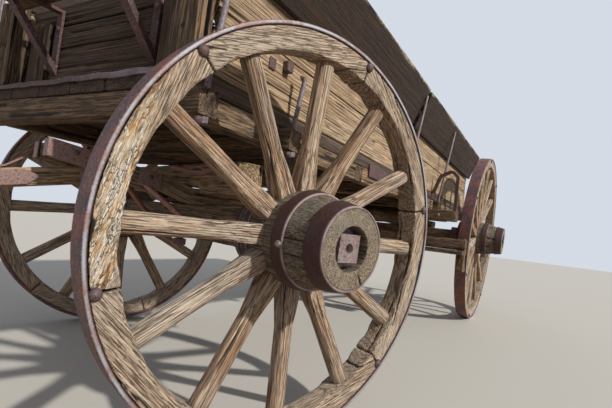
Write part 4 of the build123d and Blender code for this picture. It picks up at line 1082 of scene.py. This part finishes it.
def build_floor_strap():
    """Thin wavy iron strap nailed along the front edge of the floor, painted lighter towards the left as
    sunlight.
    """
    low, high = (np.array(corner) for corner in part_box("floor_strap"))
    thick, length, tall = high - low
    places = np.linspace(0, length, 60)
    line = np.outer(places, X)
    rise = 0.0022 * noise(line, (14, 1, 1), 5) + 0.0012 * noise(line, (45, 1, 1), 6)
    narrow = tall * (0.62 + 0.13 * noise(line, (9, 1, 1), 8))
    shape = beam(length, tuple(zip(places, narrow)), thick, 0.003, 0.006, 0.001)
    start = (low + high) / 2 - length / 2 * Y
    piece = Piece()
    style = Style(ridge=0, cracks=0, wave=0.0008, ragged=0.002)
    # Painted sunlight: the strap is painted lighter from its middle towards its left end
    place_beam(piece, shape, start, (Y, Z, X), style, 71, tuple(zip(places, rise)),
               fresh=lambda spots, grain: 0.6 * smooth(0.50, 0.80, spots[:, 0]))
    piece.replace("floor_strap", "strap", "root", "_iron")


def add_plate(piece, centre, axes, size):
    """Adds a small iron plate with rounded edges: its size along, across and thick."""
    points, quads, lids, _ = beam(*size, 0.008, 0.008, 0.0015)
    verts = centre + (points - (size[0] / 2, 0, 0)) @ np.array(axes)
    piece.add(verts, quads.tolist() + lids, verts, np.zeros(len(verts)))


def build_small_irons():
    """Bolts, nuts and staples that the solids leave out."""
    box = Piece()
    bolt_x, bolt_out, bolt_heights = BRACKET_BOLTS
    for side in (1, -1):
        for x, z, proud in STAPLES:
            middle = np.array((x, side * (BOX_SIDE + proud / 2 - STAPLE_IN), z))
            add_plate(box, middle, (X, Z, np.cross(X, Z)), (*STAPLE_SIZE, proud + STAPLE_IN))
        for z in bolt_heights:
            dome(box, np.array((bolt_x, side * bolt_out, z)), X, *BRACKET_HEAD)
    for points in solids("flare_rods"):
        side = 1 if points[:, 1].mean() > 0 else -1
        head, foot = points[points[:, 2].argmax()], points[points[:, 2].argmin()]
        dome(box, head + (0, -0.004 * side, -0.004), (0, side, 0.5), *ROD_HEAD)
        dome(box, foot + (0, 0, 0.006), (0, side, 0), *ROD_NUT)
    box.finish("box_bolts", "bolt", "root")
    block = Piece()
    low, high = (np.array(corner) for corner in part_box("brake_block"))
    dome(block, np.array((high[0] - 0.002, *((low + high) / 2)[1:])), X, *BLOCK_HEAD)
    block.finish("brake_block_bolt", "nut", "root")
    gear = Piece()
    for side in (1, -1):
        for ahead, height, size in HOUND_BOLTS:
            spot = KINGPIN + ahead * FORWARD + side * HOUND_PLATE_OUT * LEFT + height * Z
            dome(gear, spot, side * LEFT, size, 0.6 * size)
    gear.finish("gear_bolts", "bolt", "front_gear")
    hub = Piece()
    dome(hub, np.array(HUB_BOLT_AT), HUB_BOLT_FACES, *HUB_HEAD)
    hub.finish("hub_band_bolt", "nut", NEAR_WHEEL)


def build_gear_irons():
    """The wavy strap across the front of the sand board, and a round brace from each hound to the axle."""
    style = Style(ridge=0, cracks=0, wave=0.0006, ragged=0.001)
    first, last = STRAP_RISE[0][0], STRAP_RISE[-1][0]
    start = KINGPIN + SAND_BOARD_FRONT * FORWARD + first * LEFT
    piece = Piece()
    shape = beam(last - first, *STRAP_SIZE, 0.004, 0.008, 0.001)
    place_beam(piece, shape, start, (LEFT, Z, np.cross(LEFT, Z)), style, 81, from_start(STRAP_RISE))
    for side in (1, -1):
        top, foot = (KINGPIN + ahead * FORWARD + side * out * LEFT + height * Z
                     for ahead, out, height in BRACE)
        length = np.linalg.norm(foot - top)
        along = (foot - top) / length
        across = np.cross(Z, along) / np.linalg.norm(np.cross(Z, along))
        shape = beam(length, BRACE_WIDTH, BRACE_WIDTH, 0.004, 0.02, 0.495 * BRACE_WIDTH)
        place_beam(piece, shape, top, (along, across, np.cross(along, across)), style, 83)
    # The red iron paints sunlight on these irons, which lie in the box's shade
    piece.finish("sand_board_irons", "red", "front_gear")


build_flare()
build_floor_strap()
build_small_irons()
build_gear_irons()
for node_name in ("rub_irons", "footboard_brackets", "kingpin", "rear_skeins", "brake_hangers",
                  "brake_lever"):
    worn_irons(node_name, "root", "strap")
worn_irons("flare_rods", "root", "rod")
worn_irons("front_skeins", "front_gear", "nut")
worn_irons("tongue_pin", "front_gear", "strap")
worn_irons("hound_irons", "front_gear", "plate")
worn_irons("tongue_irons", "tongue", "plate")


def background_rays(tree):
    """1 for rays that should meet the pale background: those of the camera, of gloss and through glass."""
    path = add_node(tree, "LightPath").outputs
    total = path["Is Camera Ray"]
    for kind in ("Is Glossy Ray", "Is Transmission Ray"):
        total = add_node(tree, "Math", {0: total, 1: path[kind]}, operation="MAXIMUM").outputs[0]
    return total


# Floor, light and camera
floor_mesh = bpy.data.meshes.new("floor")
floor_corners = [(x * FLOOR_REACH, y * FLOOR_REACH, 0) for x, y in ((-1, -1), (1, -1), (1, 1), (-1, 1))]
floor_mesh.from_pydata(floor_corners, [], [(0, 1, 2, 3)])
floor = linked("floor", floor_mesh)
pale = bpy.data.materials.new("pale floor")
pale.use_nodes = True
tree = pale.node_tree
ground = add_node(tree, "Mix", {0: background_rays(tree), 6: (*FLOOR_LIGHT, 1), 7: (*FLOOR_SEEN, 1)},
                  data_type="RGBA")
surface = tree.nodes["Principled BSDF"]
surface.inputs["Roughness"].default_value = 0.9
tree.links.new(ground.outputs[2], surface.inputs["Base Color"])
floor_mesh.materials.append(pale)

world = bpy.data.worlds.new("studio")
world.use_nodes = True
tree = world.node_tree
soft = tree.nodes["Background"]
soft.inputs["Color"].default_value = (*SKY_LIGHT, 1)
soft.inputs["Strength"].default_value = SKY_STRENGTH
backdrop = add_node(tree, "Background", {"Color": (*SKY_SEEN, 1)})
shown = add_node(tree, "MixShader", {0: background_rays(tree), 1: soft.outputs[0], 2: backdrop.outputs[0]})
tree.links.new(shown.outputs[0], tree.nodes["World Output"].inputs["Surface"])
bpy.context.scene.world = world
key = bpy.data.lights.new("key", "SUN")
key.energy = SUN_STRENGTH
key.angle = radians(SUN_WIDTH)
key.color = SUN_COLOUR
linked("key", key).rotation_euler = Vector(SUN_FROM).to_track_quat("Z", "Y").to_euler()

camera_data = bpy.data.cameras.new("camera")
camera_data.sensor_width = SENSOR_WIDTH
camera_data.lens = SENSOR_WIDTH * FOCAL_PIXELS / PHOTO_WIDTH
camera_data.clip_end = 200
camera = linked("camera", camera_data)
heading, pitch = radians(CAMERA_HEADING), radians(CAMERA_PITCH)
look = Vector((cos(heading) * cos(pitch), sin(heading) * cos(pitch), sin(pitch)))
level = look.cross(Vector((0, 0, 1))).normalized()
above = level.cross(look)
roll = radians(CAMERA_ROLL)
right = level * cos(roll) + above * sin(roll)
top = right.cross(look)
camera.matrix_world = Matrix((right, top, -look)).transposed().to_4x4()
camera.location = CAMERA_AT
bpy.context.scene.camera = camera
bpy.context.scene.view_settings.view_transform = "Standard"
